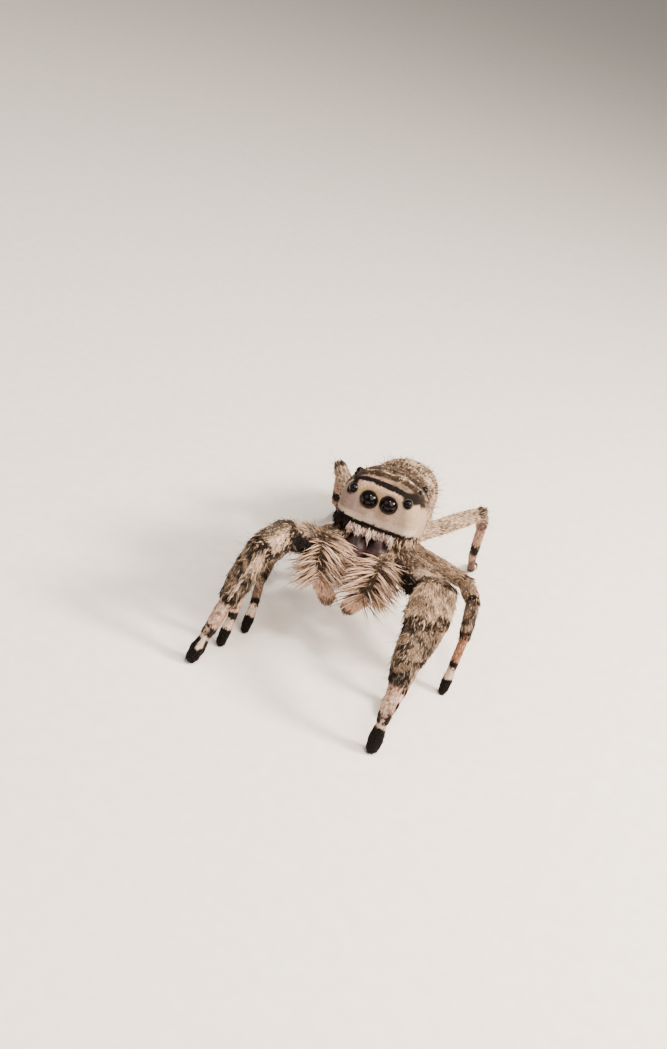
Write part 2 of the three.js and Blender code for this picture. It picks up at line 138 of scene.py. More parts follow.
# The short coat that lies along the body, by region: tufts per square millimetre, length, width,
# and degrees that a tuft lifts from the skin.
SHORT_COAT = {
    "face": (500, 0.14, 0.045, 9),
    "crown": (290, 0.24, 0.052, 12),
    "flank": (220, 0.27, 0.056, 13),
    "abdomen": (170, 0.36, 0.064, 12),
    "stalk": (110, 0.2, 0.055, 12),
    "taps": (150, 0.2, 0.05, 12),
    "upper": (280, 0.3, 0.052, 24),
    "lower": (320, 0.29, 0.048, 30),
    "femur": (225, 0.28, 0.058, 13),
    "patella": (240, 0.27, 0.056, 14),
    "tibia": (245, 0.26, 0.054, 13),
    "metatarsus": (290, 0.22, 0.048, 12),
    "tarsus": (320, 0.2, 0.048, 14),
}

# The longer hairs among it: tufts per square millimetre, length, width and lift.
# On a limb the length is a share of its radius.
LONG_COAT = {
    "crown": (7, 0.36, 0.034, 20),
    "flank": (16, 0.46, 0.034, 30),
    "abdomen": (12, 0.6, 0.045, 20),
    "upper": (22, 1.1, 0.05, 42),
    "lower": (22, 0.75, 0.04, 45),
    "femur": (22, 0.62, 0.046, 28),
    "patella": (24, 0.55, 0.046, 28),
    "tibia": (18, 0.52, 0.042, 26),
    "metatarsus": (6, 0.5, 0.04, 24),
    "tarsus": (10, 0.5, 0.04, 20),
}

# Thin pale hairs that stand out from the outline, dark bristles, and longer ones on the crown, in
# the same measures. On a limb their length is multiplied by the first value of LIMB_HAIR plus the
# second for each millimetre of the limb's radius.
WISPS = (3.6, 0.75, 0.02, 50)
BRISTLES = (0.7, 0.6, 0.03, 42)
CROWN_BRISTLES = (0.6, 0.8, 0.026, 40)
LIMB_HAIR = (0.45, 0.6)

# How hairs bend towards the skin as they grow, and sag, as shares of their length.
SHORT_BEND = 0.25
LONG_BEND = 0.35
LONG_SAG = 0.1

# The odd dark and pale hairs among the short coat, and the streaks of the long one: what a dark one
# keeps of its colour, and what a pale one takes of a light colour. A marking darker than
# BLACK_BELOW, in linear brightness, takes no pale hairs.
DARK_HAIR = 0.45
PALE_HAIR = 0.4
BLACK_BELOW = 0.025
DARK_STREAK = 0.35
PALE_STREAK = 0.45
STREAK_SIZE = 0.12
STREAK_BLACK_BELOW = 0.03

# The fans of long hairs round each feeler's bend.
FAN_DENSITY = 60
FAN_LENGTH = 1.35
FAN_WIDTH = 0.07
FAN_REACH = {"upper": (0.62, 1.1), "lower": (-0.1, 0.52)}  # shares along the feeler's two parts
FAN_DROOP = {"outer": 1.1, "inner": 0.35}  # most that a hair of each side points down, for 1 sideways
FAN_SAG = 0.55
FAN_STREAK_SIZE = 0.16

# The pale brush that hangs from the face's lower edge over the jaws, in the head's frame.
BRUSH_DENSITY = 330
BRUSH_LENGTH = 0.34
BRUSH_WIDTH = 0.06
BRUSH_HALF_WIDTH = 1.35
BRUSH_TOP = -0.5
BRUSH_BOTTOM = -0.84
BRUSH_LOBE = 0.26  # width of the brush's clumps
CHIN_FRONT = -1.7

# The tufts that hang at the brush's two ends.
CHIN_LENGTH = 0.42
CHIN_WIDTH = 0.05
CHIN_TOP = -0.4
CHIN_HALF_WIDTH = 2.4

# ---------- Colours ----------

COLOURS = {
    "white": "#f7dfcb",
    "cream": "#dabea2",
    "lilac": "#c7ada6",
    "blush": "#d4a791",
    "straw": "#cdac70",
    "sand": "#9d836b",
    "grey": "#736150",
    "olive": "#4f3f2d",
    "slate": "#4b4239",
    "umber": "#463527",
    "brown": "#2f2118",
    "dark": "#1a100b",
    "black": "#0f0806",
    "rust": "#c4785a",
    "mauve": "#6a4946",
}


# ---------- Measures of the markings ----------

PATCH_SIZE = 0.5  # lumps of the noise that makes patches
FLECK_SIZE = 0.17  # and flecks
STRAND_SIZE = 0.15  # and the streaks of the face's hairs, which are longer than wide
STRAND_STRETCH = (0.35, 1.0, 1.5)

# The head, in its own frame: x to its left, y back and z up from its middle. A pair of values says
# where a colour starts to show and where it is full.
CROWN_EDGE = (1.0, 1.35)  # z
CROWN_SIDE = (2.35, 2.1)  # distance from the middle line
FACE_EDGE = (-2.2, -2.55)  # y
CHEEK_TOP = (1.2, 0.9)  # z
CHEEK_BOTTOM = (-0.9, -0.6)
CHEEK_BACK = (-0.4, -1.5)  # y
EYE_STRIPE = (1.2, 1.72)  # z of the dark stripe behind the side eyes, from its lower to its upper edge
EYE_STRIPE_REACH = (-3.0, -0.6)  # y
EYE_STRIPE_SLOPE = 0.16
CHIN_EDGE = (-1.0, -1.5)  # z

# The brow is an arc: degrees up from straight ahead, seen from the head's middle. The arcs over the
# crown follow it, at so many degrees behind it.
BROW_RISE = 35.2
BROW_SLANT = 2.0
BROW_BEND = 0.4
BROW_HALF = (3.5, 2.8)
BROW_SIDE = (1.95, 1.75)
BROW_PATCH = ((1.2, 2.15), (1.36, 1.9))  # x and z of its wide left end
BROW_LINE = (3, 6.5)  # the thin cream arc close behind it
CROWN_ARCS = (
    (13, 23, "brown"),
    (26, 31, "cream"),
    (36, 46, "brown"),
    (50, 54, "sand"),
    (60, 72, "umber"),
    (80, 85, "sand"),
    (95, 112, "umber"),
)

# The rings round the two front middle eyes: how strong the straw colour above each one is.
EYE_GLOW = {"left": 0.3, "right": 0.85}
GLOW_REACH = (0.36, 0.14)  # distances from the lens's edge
EYE_RING = (0.16, 0.05)
EYE_LINE = (0.05, 0.0)

# The black line under the face, like a moustache: its height, slant and half its thickness.
LINE_HEIGHT = -0.36
LINE_SLANT = 0.045
LINE_HALF = 0.125
LINE_SIDE = (2.3, 2.1)

# The abdomen, in its own frame.
BACK_STRIPE = (-1.9, 3.2)
BACK_STRIPE_SIDE = (1.25, 0.95)
BACK_SPOTS = ((0.1, 0.0, 0.5), (1.3, 0.48, 0.3), (2.2, 0.4, 0.22))  # how far back and aside, and radius
FLANK_BARS = (-1.9, -0.6, 0.7, 1.9)
FLANK_BAR_HALF = 0.16
PALE_ARCS = (-1.75, -0.95)
PALE_ARC_HALF = 0.12
FRONT_BANDS = (-3.6, -3.05, -2.75, -2.45)  # edges of the cream, brown and cream bands at its front

# The dark ring near the end of each leg's segment, as shares of its length.
END_RING = {
    "femur": (0.94, 0.96),
    "patella": (0.88, 0.92),
    "tibia": (0.88, 0.92),
    "metatarsus": (0.77, 0.81),
}
HIND_TIBIA_BAND = (0.58, 0.9)
FOOT_NECK = {"front": 0.16, "hind": 0.36}  # share of a foot that is pale
# The streaks on the right fore leg, in degrees from its top towards its front.
PATELLA_STREAK = (14, 80)
PATELLA_LIGHT = (30, 52)
TIBIA_STREAK = (40, 85)
TIBIA_LIGHT = (35, 43)
FOOT_STREAK = (15, 60)


def linear(hex_colour):
    """An sRGB hex colour as linear red, green and blue."""
    channels = np.array([int(hex_colour[i:i + 2], 16) for i in (1, 3, 5)]) / 255
    return np.where(channels <= 0.04045, channels / 12.92, ((channels + 0.055) / 1.055) ** 2.4)


INK = {name: linear(value) for name, value in COLOURS.items()}


def smooth(start, end, values):
    """0 before start, 1 after end, and smooth between."""
    share = np.clip((values - start) / (end - start), 0, 1)
    return share * share * (3 - 2 * share)


def band(values, low, high, soft):
    """1 between low and high, fading over soft on each side."""
    return smooth(low - soft, low + soft, values) * (1 - smooth(high - soft, high + soft, values))


def paint(colours, mask, ink):
    """Lays a colour over others, as thick as the mask says."""
    colours += np.clip(mask, 0, 1)[:, None] * (INK[ink] - colours)


def unit(vectors):
    return vectors / np.maximum(np.linalg.norm(vectors, axis=-1, keepdims=True), 1e-9)


SLANT = np.array(Euler((0.7, 1.1, 0.4)).to_matrix())  # keeps the noise's own grid out of sight


def grain(places, size, seed=0):
    """Smooth noise of about -1 to 1 whose lumps have the given size."""
    shifted = places @ SLANT / size + np.array([seed * 7.3, seed * 3.1, -seed * 5.7])
    return np.array([noise.noise(p) + 0.4 * noise.noise(2.3 * Vector(p)) for p in shifted.tolist()]) * 1.5


# ---------- The solids, read from the frame ----------


class Solid:
    """A CAD node: its welded corners, its triangles and a tree for nearest points."""

    def __init__(self, node):
        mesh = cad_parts[node].data
        places = np.empty(len(mesh.vertices) * 3, np.float32)
        mesh.vertices.foreach_get("co", places)
        mesh.calc_loop_triangles()
        triangles = np.empty(len(mesh.loop_triangles) * 3, np.int32)
        mesh.loop_triangles.foreach_get("vertices", triangles)
        rounded = np.round(places.reshape(-1, 3).astype(float) / MM, 4)
        self.corners, index = np.unique(rounded, axis=0, return_inverse=True)
        self.triangles = index.reshape(-1)[triangles].reshape(-1, 3)
        self.tree = BVHTree.FromPolygons(self.corners.tolist(), self.triangles.tolist())

    def distances(self, places):
        return np.array([self.tree.find_nearest(Vector(p))[3] for p in places.tolist()])

    def facing(self, other):
        """Which corners face another solid across the cut."""
        return other.distances(self.corners) < MEETING_GAP

    def middle(self):
        return (self.corners.min(0) + self.corners.max(0)) / 2

    def rooted(self, corners, carrier):
        """The corners with those that face the carrier sunk into it."""
        facing = self.facing(carrier)
        inward = unit(carrier.middle() - self.corners[facing])
        corners = corners.copy()
        corners[facing] = self.corners[facing] + EMBED * inward
        return corners


def corner_normals(corners, triangles):
    a, b, c = (corners[triangles[:, i]] for i in range(3))
    faces = np.cross(b - a, c - a)
    normals = np.zeros_like(corners)
    for i in range(3):
        np.add.at(normals, triangles[:, i], faces)
    return unit(normals)


LIMBS = {}  # limb name -> its nodes from the body outwards
for side in SIDES:
    LIMBS[f"{side}_palp"] = [f"{side}_palp_upper", f"{side}_palp_lower"]
    for pair in range(1, 5):
        LIMBS[f"{side}_leg_{pair}"] = [f"{side}_leg_{pair}_{segment}" for segment in SEGMENTS]
FLESH = ["cephalothorax", "abdomen", "pedicel", "spinnerets"]
FLESH += [node for nodes in LIMBS.values() for node in nodes]
SHELLS = [f"{side}_{part}" for side in SIDES for part in ("chelicera", "fang")]
SOLIDS = {node: Solid(node) for node in FLESH + SHELLS}


class Trunk:
    """A part of the body with a frame of its own: across to the left, back and up."""

    side = 0
    radius = 1.0

    def __init__(self, node, region, origin, across, back):
        self.node = node
        self.region = region
        self.origin = origin
        self.axes = np.column_stack([across, back, np.cross(across, back)])
        self.reach = np.abs((SOLIDS[node].corners - origin) @ self.axes).max(0)
        self.depth = TRUNK_DEPTH[region]

    def local(self, places):
        return (places - self.origin) @ self.axes

    def flow(self, local):
        """The lie of the coat: backwards, and down the flanks."""
        down = -FLANK_FALL * np.abs(local[:, 0]) / self.reach[0]
        aside = FLANK_SPREAD * np.sign(local[:, 0])
        ways = np.column_stack([aside, np.ones(len(local)), down])
        return ways @ self.axes.T

    def unwrap(self, local):
        """Round the long axis, and along it as an angle from the front pole."""
        around = np.arctan2(local[:, 0], local[:, 2]) / (2 * math.pi) + 0.5
        scaled = local / self.reach
        polar = np.arctan2(np.hypot(scaled[:, 0], scaled[:, 2]), -scaled[:, 1]) / math.pi
        return np.column_stack([around, polar])


class Head(Trunk):
    def flow(self, local):
        """Back over the crown and flanks; down the face, and outwards from its middle line."""
        back = super().flow(local)
        x, y, z = local.T
        down = np.column_stack([FACE_PARTING * x, np.zeros_like(x), -np.ones_like(x)]) @ self.axes.T
        up = np.column_stack([BROW_PARTING * x, 0.8 * np.ones_like(x), np.ones_like(x)]) @ self.axes.T
        front = smooth(*FACE_TURN, y)[:, None]
        high = smooth(*BROW_TURN, z)[:, None]
        return back * (1 - front) + front * (down * (1 - high) + up * high)


class Limb:
    """A stretch of a leg or feeler: from its base to its tip, with its upper and its front side."""

    def __init__(self, node, side, base, tip):
        self.node = node
        self.region = node.split("_")[-1]
        self.side = side
        self.pair = int(node.split("_")[2]) if "_leg_" in node else 0
        self.base = base
        self.length = np.linalg.norm(tip - base)
        self.axis = (tip - base) / self.length
        self.up = unit(np.array([0, 0, 1]) - self.axis[2] * self.axis)
        self.front = side * np.cross(self.axis, self.up)
        self.radius = np.median(np.linalg.norm(self.outward(SOLIDS[node].corners), axis=1))
        self.depth = LIMB_DEPTH_SHARE[self.region] * self.radius

    def waist(self, share):
        """How much deeper the skin lies, as a share of the radius: most at a foot's neck."""
        depth, reach = WAIST[self.region]
        if self.pair == 1:
            return depth * smooth(reach, 0.0, share)
        return HIND_WAIST * depth * smooth(reach, 0.0, share)

    def outward(self, places):
        apart = places - self.base
        return apart - (apart @ self.axis)[:, None] * self.axis

    def local(self, places):
        """Share of the length, and how far round towards the upper and the front side."""
        share = (places - self.base) @ self.axis / self.length
        out = unit(self.outward(places))
        return np.column_stack([share, out @ self.up, out @ self.front])

    def flow(self, local):
        return np.tile(self.axis, (len(local), 1))

    def unwrap(self, local):
        around = np.arctan2(local[:, 2], local[:, 1]) / (2 * math.pi) + 0.5
        return np.column_stack([around, np.clip(local[:, 0], 0, 1)])


def eye_middle(name):
    low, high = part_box(name)
    return np.array((low + high) / 2) / MM


def eye_radius(name):
    low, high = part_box(name)
    return max(high - low) / 2 / MM


def head_frame():
    """The head's level and facing, from its pairs of eyes."""
    pairs = [(eye_middle(f"left_{eye}"), eye_middle(f"right_{eye}")) for eye in EYES]
    across = unit(sum(unit(left - right) for left, right in pairs))
    front = sum(pairs[0]) / 2
    line = unit(front - sum(pairs[3]) / 2)
    turn = Matrix.Rotation(-math.radians(EYE_LINE_DROP), 3, Vector(across))
    back = -unit(np.array(turn @ Vector(line)))
    up = np.cross(across, back)
    return front + EYES_AHEAD * back - EYES_ABOVE * up, across, back


def abdomen_frame():
    """The abdomen's long axis, from the spread of its corners."""
    corners = SOLIDS["abdomen"].corners
    origin = SOLIDS["abdomen"].middle()
    _, axes = np.linalg.eigh(np.cov((corners - origin).T))
    back = axes[:, -1] * np.sign(axes[1, -1])
    across = unit(np.cross(back, np.array([0, 0, 1])))
    return origin, across, back


def limb_parts(name, nodes):
    """The joints are where neighbouring solids face each other; the ends come from their reach."""
    side = SIDES[name.split("_")[0]]
    solids = [SOLIDS[node] for node in nodes]
    joints = [near.corners[near.facing(far)].mean(0) for near, far in zip(solids, solids[1:])]
    first = solids[0].corners
    apart = np.linalg.norm(first - joints[0], axis=1)
    ring = first[(apart > LIMB_RING[0]) & (apart < LIMB_RING[1])]
    axis = unit(joints[0] - ring.mean(0))
    base = joints[0] - axis * ((joints[0] - first) @ axis).max()
    last = solids[-1].corners
    axis = unit(last.mean(0) - joints[-1])
    tip = joints[-1] + axis * ((last - joints[-1]) @ axis).max()
    stops = [base, *joints, tip]
    for node, start, end in zip(nodes, stops, stops[1:]):
        yield Limb(node, side, start, end)


def body_parts():
    origin, across, back = head_frame()
    yield Head("cephalothorax", "head", origin, across, back)
    origin, across, back = abdomen_frame()
    yield Trunk("abdomen", "abdomen", origin, across, back)
    yield Trunk("pedicel", "stalk", SOLIDS["pedicel"].middle(), across, back)
    yield Trunk("spinnerets", "taps", SOLIDS["spinnerets"].middle(), across, back)
    for name, nodes in LIMBS.items():
        yield from limb_parts(name, nodes)


PARTS = list(body_parts())
HEAD = PARTS[0]

# ---------- Meshes ----------


def mesh_object(name, corners, faces):
    mesh = bpy.data.meshes.new(name)
    mesh.from_pydata(corners.tolist(), [], faces.tolist())
    piece = bpy.data.objects.new(name, mesh)
    bpy.context.collection.objects.link(piece)
    return piece


def choose(piece):
    bpy.ops.object.select_all(action="DESELECT")
    piece.select_set(True)
    bpy.context.view_layer.objects.active = piece


def apply_modifier(piece, kind, **settings):
    modifier = piece.modifiers.new(kind.title(), kind)
    for key, value in settings.items():
        setattr(modifier, key, value)
    choose(piece)
    bpy.ops.object.modifier_apply(modifier=modifier.name)


def read_mesh(piece):
    """The corners, their normals and the triangles of a piece."""
    mesh = piece.data
    corners = np.empty(len(mesh.vertices) * 3)
    mesh.vertices.foreach_get("co", corners)
    mesh.calc_loop_triangles()
    triangles = np.empty(len(mesh.loop_triangles) * 3, np.int32)
    mesh.loop_triangles.foreach_get("vertices", triangles)
    corners = corners.reshape(-1, 3)
    triangles = triangles.reshape(-1, 3)
    return corners, corner_normals(corners, triangles), triangles


def finish_piece(piece, slot, material):
    """Brings a piece to metres, smooths its shading and lets it ride with the body."""
    piece.data.transform(Matrix.Scale(MM, 4))
    piece.data.polygons.foreach_set("use_smooth", [True] * len(piece.data.polygons))
    piece.data.materials.clear()
    piece.data.materials.append(material)
    piece.data.update()
    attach(piece, "root")


def set_colours(mesh, colours):
    layer = mesh.color_attributes.new("coat_colour", "FLOAT_COLOR", "POINT")
    layer.data.foreach_set("color", np.column_stack([colours, np.ones(len(colours))]).ravel())


# ---------- The skin ----------


def hull(corners):
    """The closed shape round the corners, which fills the eyes' sockets."""
    piece = mesh_object("hull", corners, np.zeros((0, 3), int))
    choose(piece)
    bpy.ops.object.mode_set(mode="EDIT")
    bpy.ops.mesh.select_all(action="SELECT")
    bpy.ops.mesh.convex_hull(delete_unused=True)
    bpy.ops.object.mode_set(mode="OBJECT")
    made = read_mesh(piece)
    bpy.data.objects.remove(piece)
    return made


def carriers(node):
    """The parts of the trunk that a part grows from."""
    if node == "pedicel":
        return ["cephalothorax", "abdomen"]
    if node == "spinnerets":
        return ["abdomen"]
    return ["cephalothorax"] if node.endswith(("_femur", "_palp_upper")) else []


def neighbours(node):
    """The segments that meet a limb's segment face to face."""
    for nodes in LIMBS.values():
        if node in nodes:
            place = nodes.index(node)
            return nodes[max(place - 1, 0):place] + nodes[place + 1:place + 2]
    return []


def flesh(part):
    """A part's solid, drawn in by the coat's depth, but still joined to its neighbours."""
    solid = SOLIDS[part.node]
    if part is HEAD:
        corners, normals, triangles = hull(solid.corners)
        return corners - part.depth * normals, triangles
    depth = np.full(len(solid.corners), part.depth)
    if part.region in WAIST:
        depth += part.radius * part.waist(part.local(solid.corners)[:, 0])
    corners = solid.corners - depth[:, None] * corner_normals(solid.corners, solid.triangles)
    for node in neighbours(part.node):
        facing = solid.facing(SOLIDS[node])
        ring = solid.corners[facing]
        joint = ring.mean(0)
        across = SOLIDS[node].corners[SOLIDS[node].facing(solid)].mean(0)
        shrink = 1 - depth[facing].mean() / np.linalg.norm(ring - joint, axis=1).max()
        corners[facing] = joint + shrink * (ring - joint) + JOINT_OVERLAP * unit(across - joint)
    for node in carriers(part.node):
        corners = solid.rooted(corners, SOLIDS[node])
    return corners, solid.triangles


def build_skin():
    """One closed skin over all the flesh, and the part that each of its corners belongs to."""
    shapes = [flesh(part) for part in PARTS]
    starts = np.cumsum([0] + [len(corners) for corners, _ in shapes])
    corners = np.vstack([corners for corners, _ in shapes])
    triangles = np.vstack([triangles + start for (_, triangles), start in zip(shapes, starts)])
    owners = np.repeat(np.arange(len(PARTS)), [len(triangles) for _, triangles in shapes])
    tree = BVHTree.FromPolygons(corners.tolist(), triangles.tolist())
    piece = mesh_object("skin", corners, triangles)
    apply_modifier(piece, "REMESH", mode="VOXEL", voxel_size=SKIN_VOXEL)
    apply_modifier(piece, "SMOOTH", factor=0.5, iterations=SKIN_SMOOTHING)
    corners, normals, triangles = read_mesh(piece)
    nearest = [tree.find_nearest(Vector(place))[2] for place in corners.tolist()]
    return piece, triangles, Surface(corners, normals, owners[nearest])


# ---------- Markings ----------


class HeadPlaces:
    """Places on the head with the measures and the noise that its markings follow."""

    def __init__(self, local, patches, flecks):
        self.local = local
        self.x, self.y, self.z = local.T
        self.wide = np.abs(self.x)
        self.patches = patches
        self.flecks = flecks
        self.front = smooth(*FACE_EDGE, self.y)
        arc = BROW_RISE - BROW_SLANT * self.x - BROW_BEND * self.x ** 2
        self.behind = np.degrees(np.arctan2(self.z, -self.y)) - arc  # degrees behind the brow
        self.line = LINE_HEIGHT - LINE_SLANT * self.x


def crown_and_flanks(colours, at):
    """Sandy flanks; an olive crown with broken dark and cream arcs that follow the brow."""
    colours[:] = INK["sand"]
    paint(colours, smooth(0.0, 0.5, at.flecks) * 0.7, "grey")
    paint(colours, smooth(-0.1, -0.5, at.patches) * 0.7, "cream")
    crown = smooth(*CROWN_EDGE, at.z) * smooth(*CROWN_SIDE, at.wide)
    paint(colours, crown, "olive")
    paint(colours, crown * smooth(0.25, 0.6, at.flecks) * 0.4, "sand")
    paint(colours, crown * smooth(0.0, 0.4, at.patches) * 0.8, "umber")
    ripple = at.behind + 7 * at.patches + 3 * at.flecks
    broken = smooth(-0.35, -0.05, at.flecks + 0.4 * at.patches)
    for start, end, ink in CROWN_ARCS:
        paint(colours, crown * band(ripple, start, end, 1.5) * (0.2 + 0.7 * broken), ink)
    paint(colours, crown * band(at.behind, *BROW_LINE, 2) * smooth(1.6, 0.6, at.wide) * 0.5, "cream")


def cheeks(colours, at):
    """Cream cheeks with ragged edges, and a dark stripe from the side eyes back under the rear ones."""
    ragged = at.y + 0.5 * at.patches + 0.25 * at.flecks
    high = smooth(*CHEEK_TOP, at.z + 0.2 * at.flecks)
    paint(colours, high * smooth(*CHEEK_BOTTOM, at.z) * smooth(*CHEEK_BACK, ragged), "cream")
    stripe = band(at.z + EYE_STRIPE_SLOPE * (at.y + 2.4), *EYE_STRIPE, 0.08)
    stripe = stripe * smooth(1.3, 1.5, at.wide) * band(at.y, *EYE_STRIPE_REACH, 0.3)
    paint(colours, stripe * smooth(0.45, 0.05, at.flecks + 0.6 * at.patches), "dark")


def face(colours, at):
    """White, with rosy strands; cream and straw on the left side, lilac and sandy on the right."""
    paint(colours, at.front, "white")
    strands = grain(at.local * STRAND_STRETCH, STRAND_SIZE, 2)
    paint(colours, at.front * smooth(-0.1, 0.5, at.patches) * 0.55, "blush")
    paint(colours, at.front * smooth(0.0, 0.5, strands) * 0.5, "blush")
    paint(colours, at.front * smooth(1.2, 1.5, at.z) * 0.5, "blush")
    paint(colours, at.front * smooth(0.6, 1.6, at.x) * 0.8, "cream")
    paint(colours, at.front * smooth(0.9, 1.8, at.x) * 0.2, "straw")
    paint(colours, at.front * smooth(-0.6, -1.5, at.x) * band(at.z, 0.0, 1.3, 0.2), "lilac")
    paint(colours, at.front * smooth(-0.8, -1.7, at.x) * band(at.z, 0.0, 1.5, 0.2) * 0.5, "sand")
    paint(colours, at.front * band(at.z + LINE_SLANT * at.x, -0.24, 0.12, 0.08), "white")


def eye_rings(colours, at):
    """A straw glow above each front middle eye, a thin ring round it, and a dark line at its lens."""
    for side, glow in EYE_GLOW.items():
        eye = f"{side}_front_middle_eye"
        apart = (at.local - HEAD.local(eye_middle(eye)[None]))[:, ::2]
        away = np.hypot(*apart.T) - eye_radius(eye)
        above = smooth(0.05, 0.3, apart[:, 1])
        paint(colours, at.front * smooth(*GLOW_REACH, away) * above * glow, "straw")
        paint(colours, at.front * smooth(*EYE_RING, away) * 0.4, "straw")
        paint(colours, at.front * smooth(*EYE_LINE, away) * 0.7, "umber")


def above_the_brow(colours, at):
    """Rosy grey with dark blotches, where the face's white has ended."""
    above = at.front * smooth(0.5, 2.5, at.behind)
    paint(colours, above, "sand")
    paint(colours, above * smooth(1.0, 0.2, np.abs(at.x + 0.3)) * 0.7, "blush")
    paint(colours, above * smooth(0.2, 0.8, at.x) * smooth(-0.2, 0.2, at.patches) * 0.8, "umber")
    paint(colours, above * smooth(0.1, 0.5, at.flecks) * 0.5, "grey")


def under_the_line(colours, at):
    """Umber and grey below the moustache line, darker at the right."""
    under = at.front * smooth(at.line + 0.02, at.line - 0.02, at.z)
    paint(colours, under, "umber")
    paint(colours, under * smooth(-0.1, 0.5, at.flecks) * 0.7, "grey")
    paint(colours, under * smooth(-1.2, -1.5, at.x) * smooth(0.5, 0.1, at.flecks), "dark")


def moustache(colours, at):
    """The black line, which swells towards its right end and greys at its left one."""
    thick = LINE_HALF + 0.04 * at.flecks + 0.12 * smooth(-1.2, -1.9, at.x) - 0.05 * smooth(1.4, 2.0, at.x)
    line = smooth(thick + 0.02, thick - 0.02, np.abs(at.z - at.line))
    paint(colours, at.front * line * smooth(*LINE_SIDE, at.wide), "black")
    paint(colours, at.front * line * smooth(1.3, 1.7, at.x) * smooth(-0.1, 0.3, at.flecks) * 0.6, "olive")


def brow(colours, at):
    """The black brow, which curls round the right side eye and widens over the left one."""
    bar = smooth(*BROW_HALF, np.abs(at.behind) + 0.6 * at.flecks) * smooth(*BROW_SIDE, at.wide)
    paint(colours, bar * smooth(-1.9, -2.3, at.y), "black")
    across, up = BROW_PATCH
    patch = band(at.x, *across, 0.08) * band(at.z, *up, 0.06)
    paint(colours, patch * smooth(-1.9, -2.2, at.y), "dark")
    eye = "right_front_side_eye"
    away = np.linalg.norm(HEAD.local(eye_middle(eye)[None]) - at.local, axis=1) - eye_radius(eye)
    loop = smooth(0.24, 0.18, away) * smooth(-1.45, -1.6, at.x + 0.5 * np.minimum(1.5 - at.z, 0))
    paint(colours, loop * smooth(0.95, 1.1, at.z), "black")
    paint(colours, at.front * band(at.x, -1.72, -1.4, 0.05) * band(at.z, 1.5, 2.1, 0.05), "black")


def head_markings(local, colours, patches, flecks):
    """The head's markings, each laid over the ones before, and the brown underside last."""
    at = HeadPlaces(local, patches, flecks)
    layers = (crown_and_flanks, cheeks, face, eye_rings, above_the_brow, under_the_line, moustache, brow)
    for layer in layers:
        layer(colours, at)
    paint(colours, smooth(*CHIN_EDGE, at.z) * smooth(-3.0, -2.6, at.y), "brown")


def abdomen_ground(local, colours, patches, flecks):
    """Sandy and grey, with a dark stripe along the back that holds cream spots."""
    x, y, z = local.T
    wide = np.abs(x)
    colours[:] = INK["sand"]
    paint(colours, smooth(0.0, 0.45, flecks) * 0.8, "grey")
    paint(colours, smooth(0.1, 0.5, patches) * 0.7, "umber")
    paint(colours, smooth(-0.15, -0.55, patches) * 0.7, "cream")
    back = smooth(0.1, 0.9, z)
    stripe = smooth(*BACK_STRIPE_SIDE, wide + 0.2 * patches) * band(y, *BACK_STRIPE, 0.3)
    paint(colours, back * stripe * 0.85, "brown")
    for row, spread, size in BACK_SPOTS:
        spot = np.hypot(wide - spread, y - row) + 0.2 * patches + 0.12 * flecks
        paint(colours, back * smooth(size + 0.12, size - 0.12, spot) * 0.85, "cream")


def abdomen_markings(local, colours, patches, flecks):
    """The ground, brown bars down the flanks, and cream and brown bands round the front."""
    abdomen_ground(local, colours, patches, flecks)
    x, y, z = local.T
    wide = np.abs(x)
    for row in FLANK_BARS:
        bar = band(y - 0.45 * wide + 0.1 * patches, row - FLANK_BAR_HALF, row + FLANK_BAR_HALF, 0.1)
        paint(colours, bar * band(wide, 1.1, 2.2, 0.2) * smooth(-0.6, 0.2, z) * 0.8, "brown")
    girdle = y - 0.25 * z + 0.2 * patches + 0.1 * flecks
    for row in PALE_ARCS:
        arc = band(girdle - 0.12 * wide ** 2, row - PALE_ARC_HALF, row + PALE_ARC_HALF, 0.12)
        paint(colours, arc * smooth(-0.5, 0.2, z) * 0.75, "cream")
        paint(colours, arc * smooth(0.15, 0.45, patches), "umber")
    over = smooth(-1.2, -0.4, z)
    first, second, third, fourth = FRONT_BANDS
    pale = band(girdle, first, second, 0.1) * over
    paint(colours, pale, "cream")
    paint(colours, pale * smooth(0.1, 0.4, flecks), "brown")
    paint(colours, band(girdle, second, third, 0.08) * over * 0.9, "brown")
    paint(colours, band(girdle, third, fourth, 0.08) * over * 0.8, "cream")
    paint(colours, smooth(-1.2, -1.7, z) * band(wide, 0.2, 0.9, 0.2) * 0.6, "brown")


def shaded_partings(patches, flecks):
    """Thin broken dark lines between the patches of a mottled coat: painted shade in the partings between
    clumps of hair.
    """
    return smooth(0.1, 0.04, np.abs(patches + 0.15 * flecks)) * smooth(-0.25, 0.05, flecks)


def end_ring(part, share, noise):
    """The dark ring near the end of a leg's segment."""
    return smooth(*END_RING[part.region], share + noise)


def femur_markings(part, local, colours, patches, flecks):
    """Grey and slate; the fore legs are black inside, and the hind ones paler."""
    share, top, inner = local.T
    colours[:] = INK["grey"]
    paint(colours, smooth(0.0, 0.3, patches) * 0.8, "slate")
    paint(colours, smooth(-0.1, -0.4, patches) * 0.6, "sand")
    if part.pair == 1:
        paint(colours, smooth(0.8, 0.6, share) * smooth(0.4, -0.1, flecks), "umber")
        knee = smooth(0.5, 0.8, top) * smooth(0.68, 0.84, share)
        paint(colours, knee * (0.6 + 0.2 * part.side), "cream")
        dark = smooth(-0.1, 0.2, inner) * smooth(0.15, 0.3, share)
        paint(colours, dark * smooth(0.75, 0.55, top + 0.3 * flecks + 0.1 * (part.side - 1)), "black")
    elif part.pair > 2:
        paint(colours, np.full(len(share), 0.6), "sand" if part.pair == 3 else "cream")
        paint(colours, smooth(0.25, 0.45, flecks) * 0.7, "umber")
    # painted shade in the partings of the coat
    paint(colours, shaded_partings(patches, flecks) * 0.8, "brown")
    paint(colours, end_ring(part, share, 0.03 * flecks) * smooth(-0.5, 0.3, top) * 0.9, "dark")


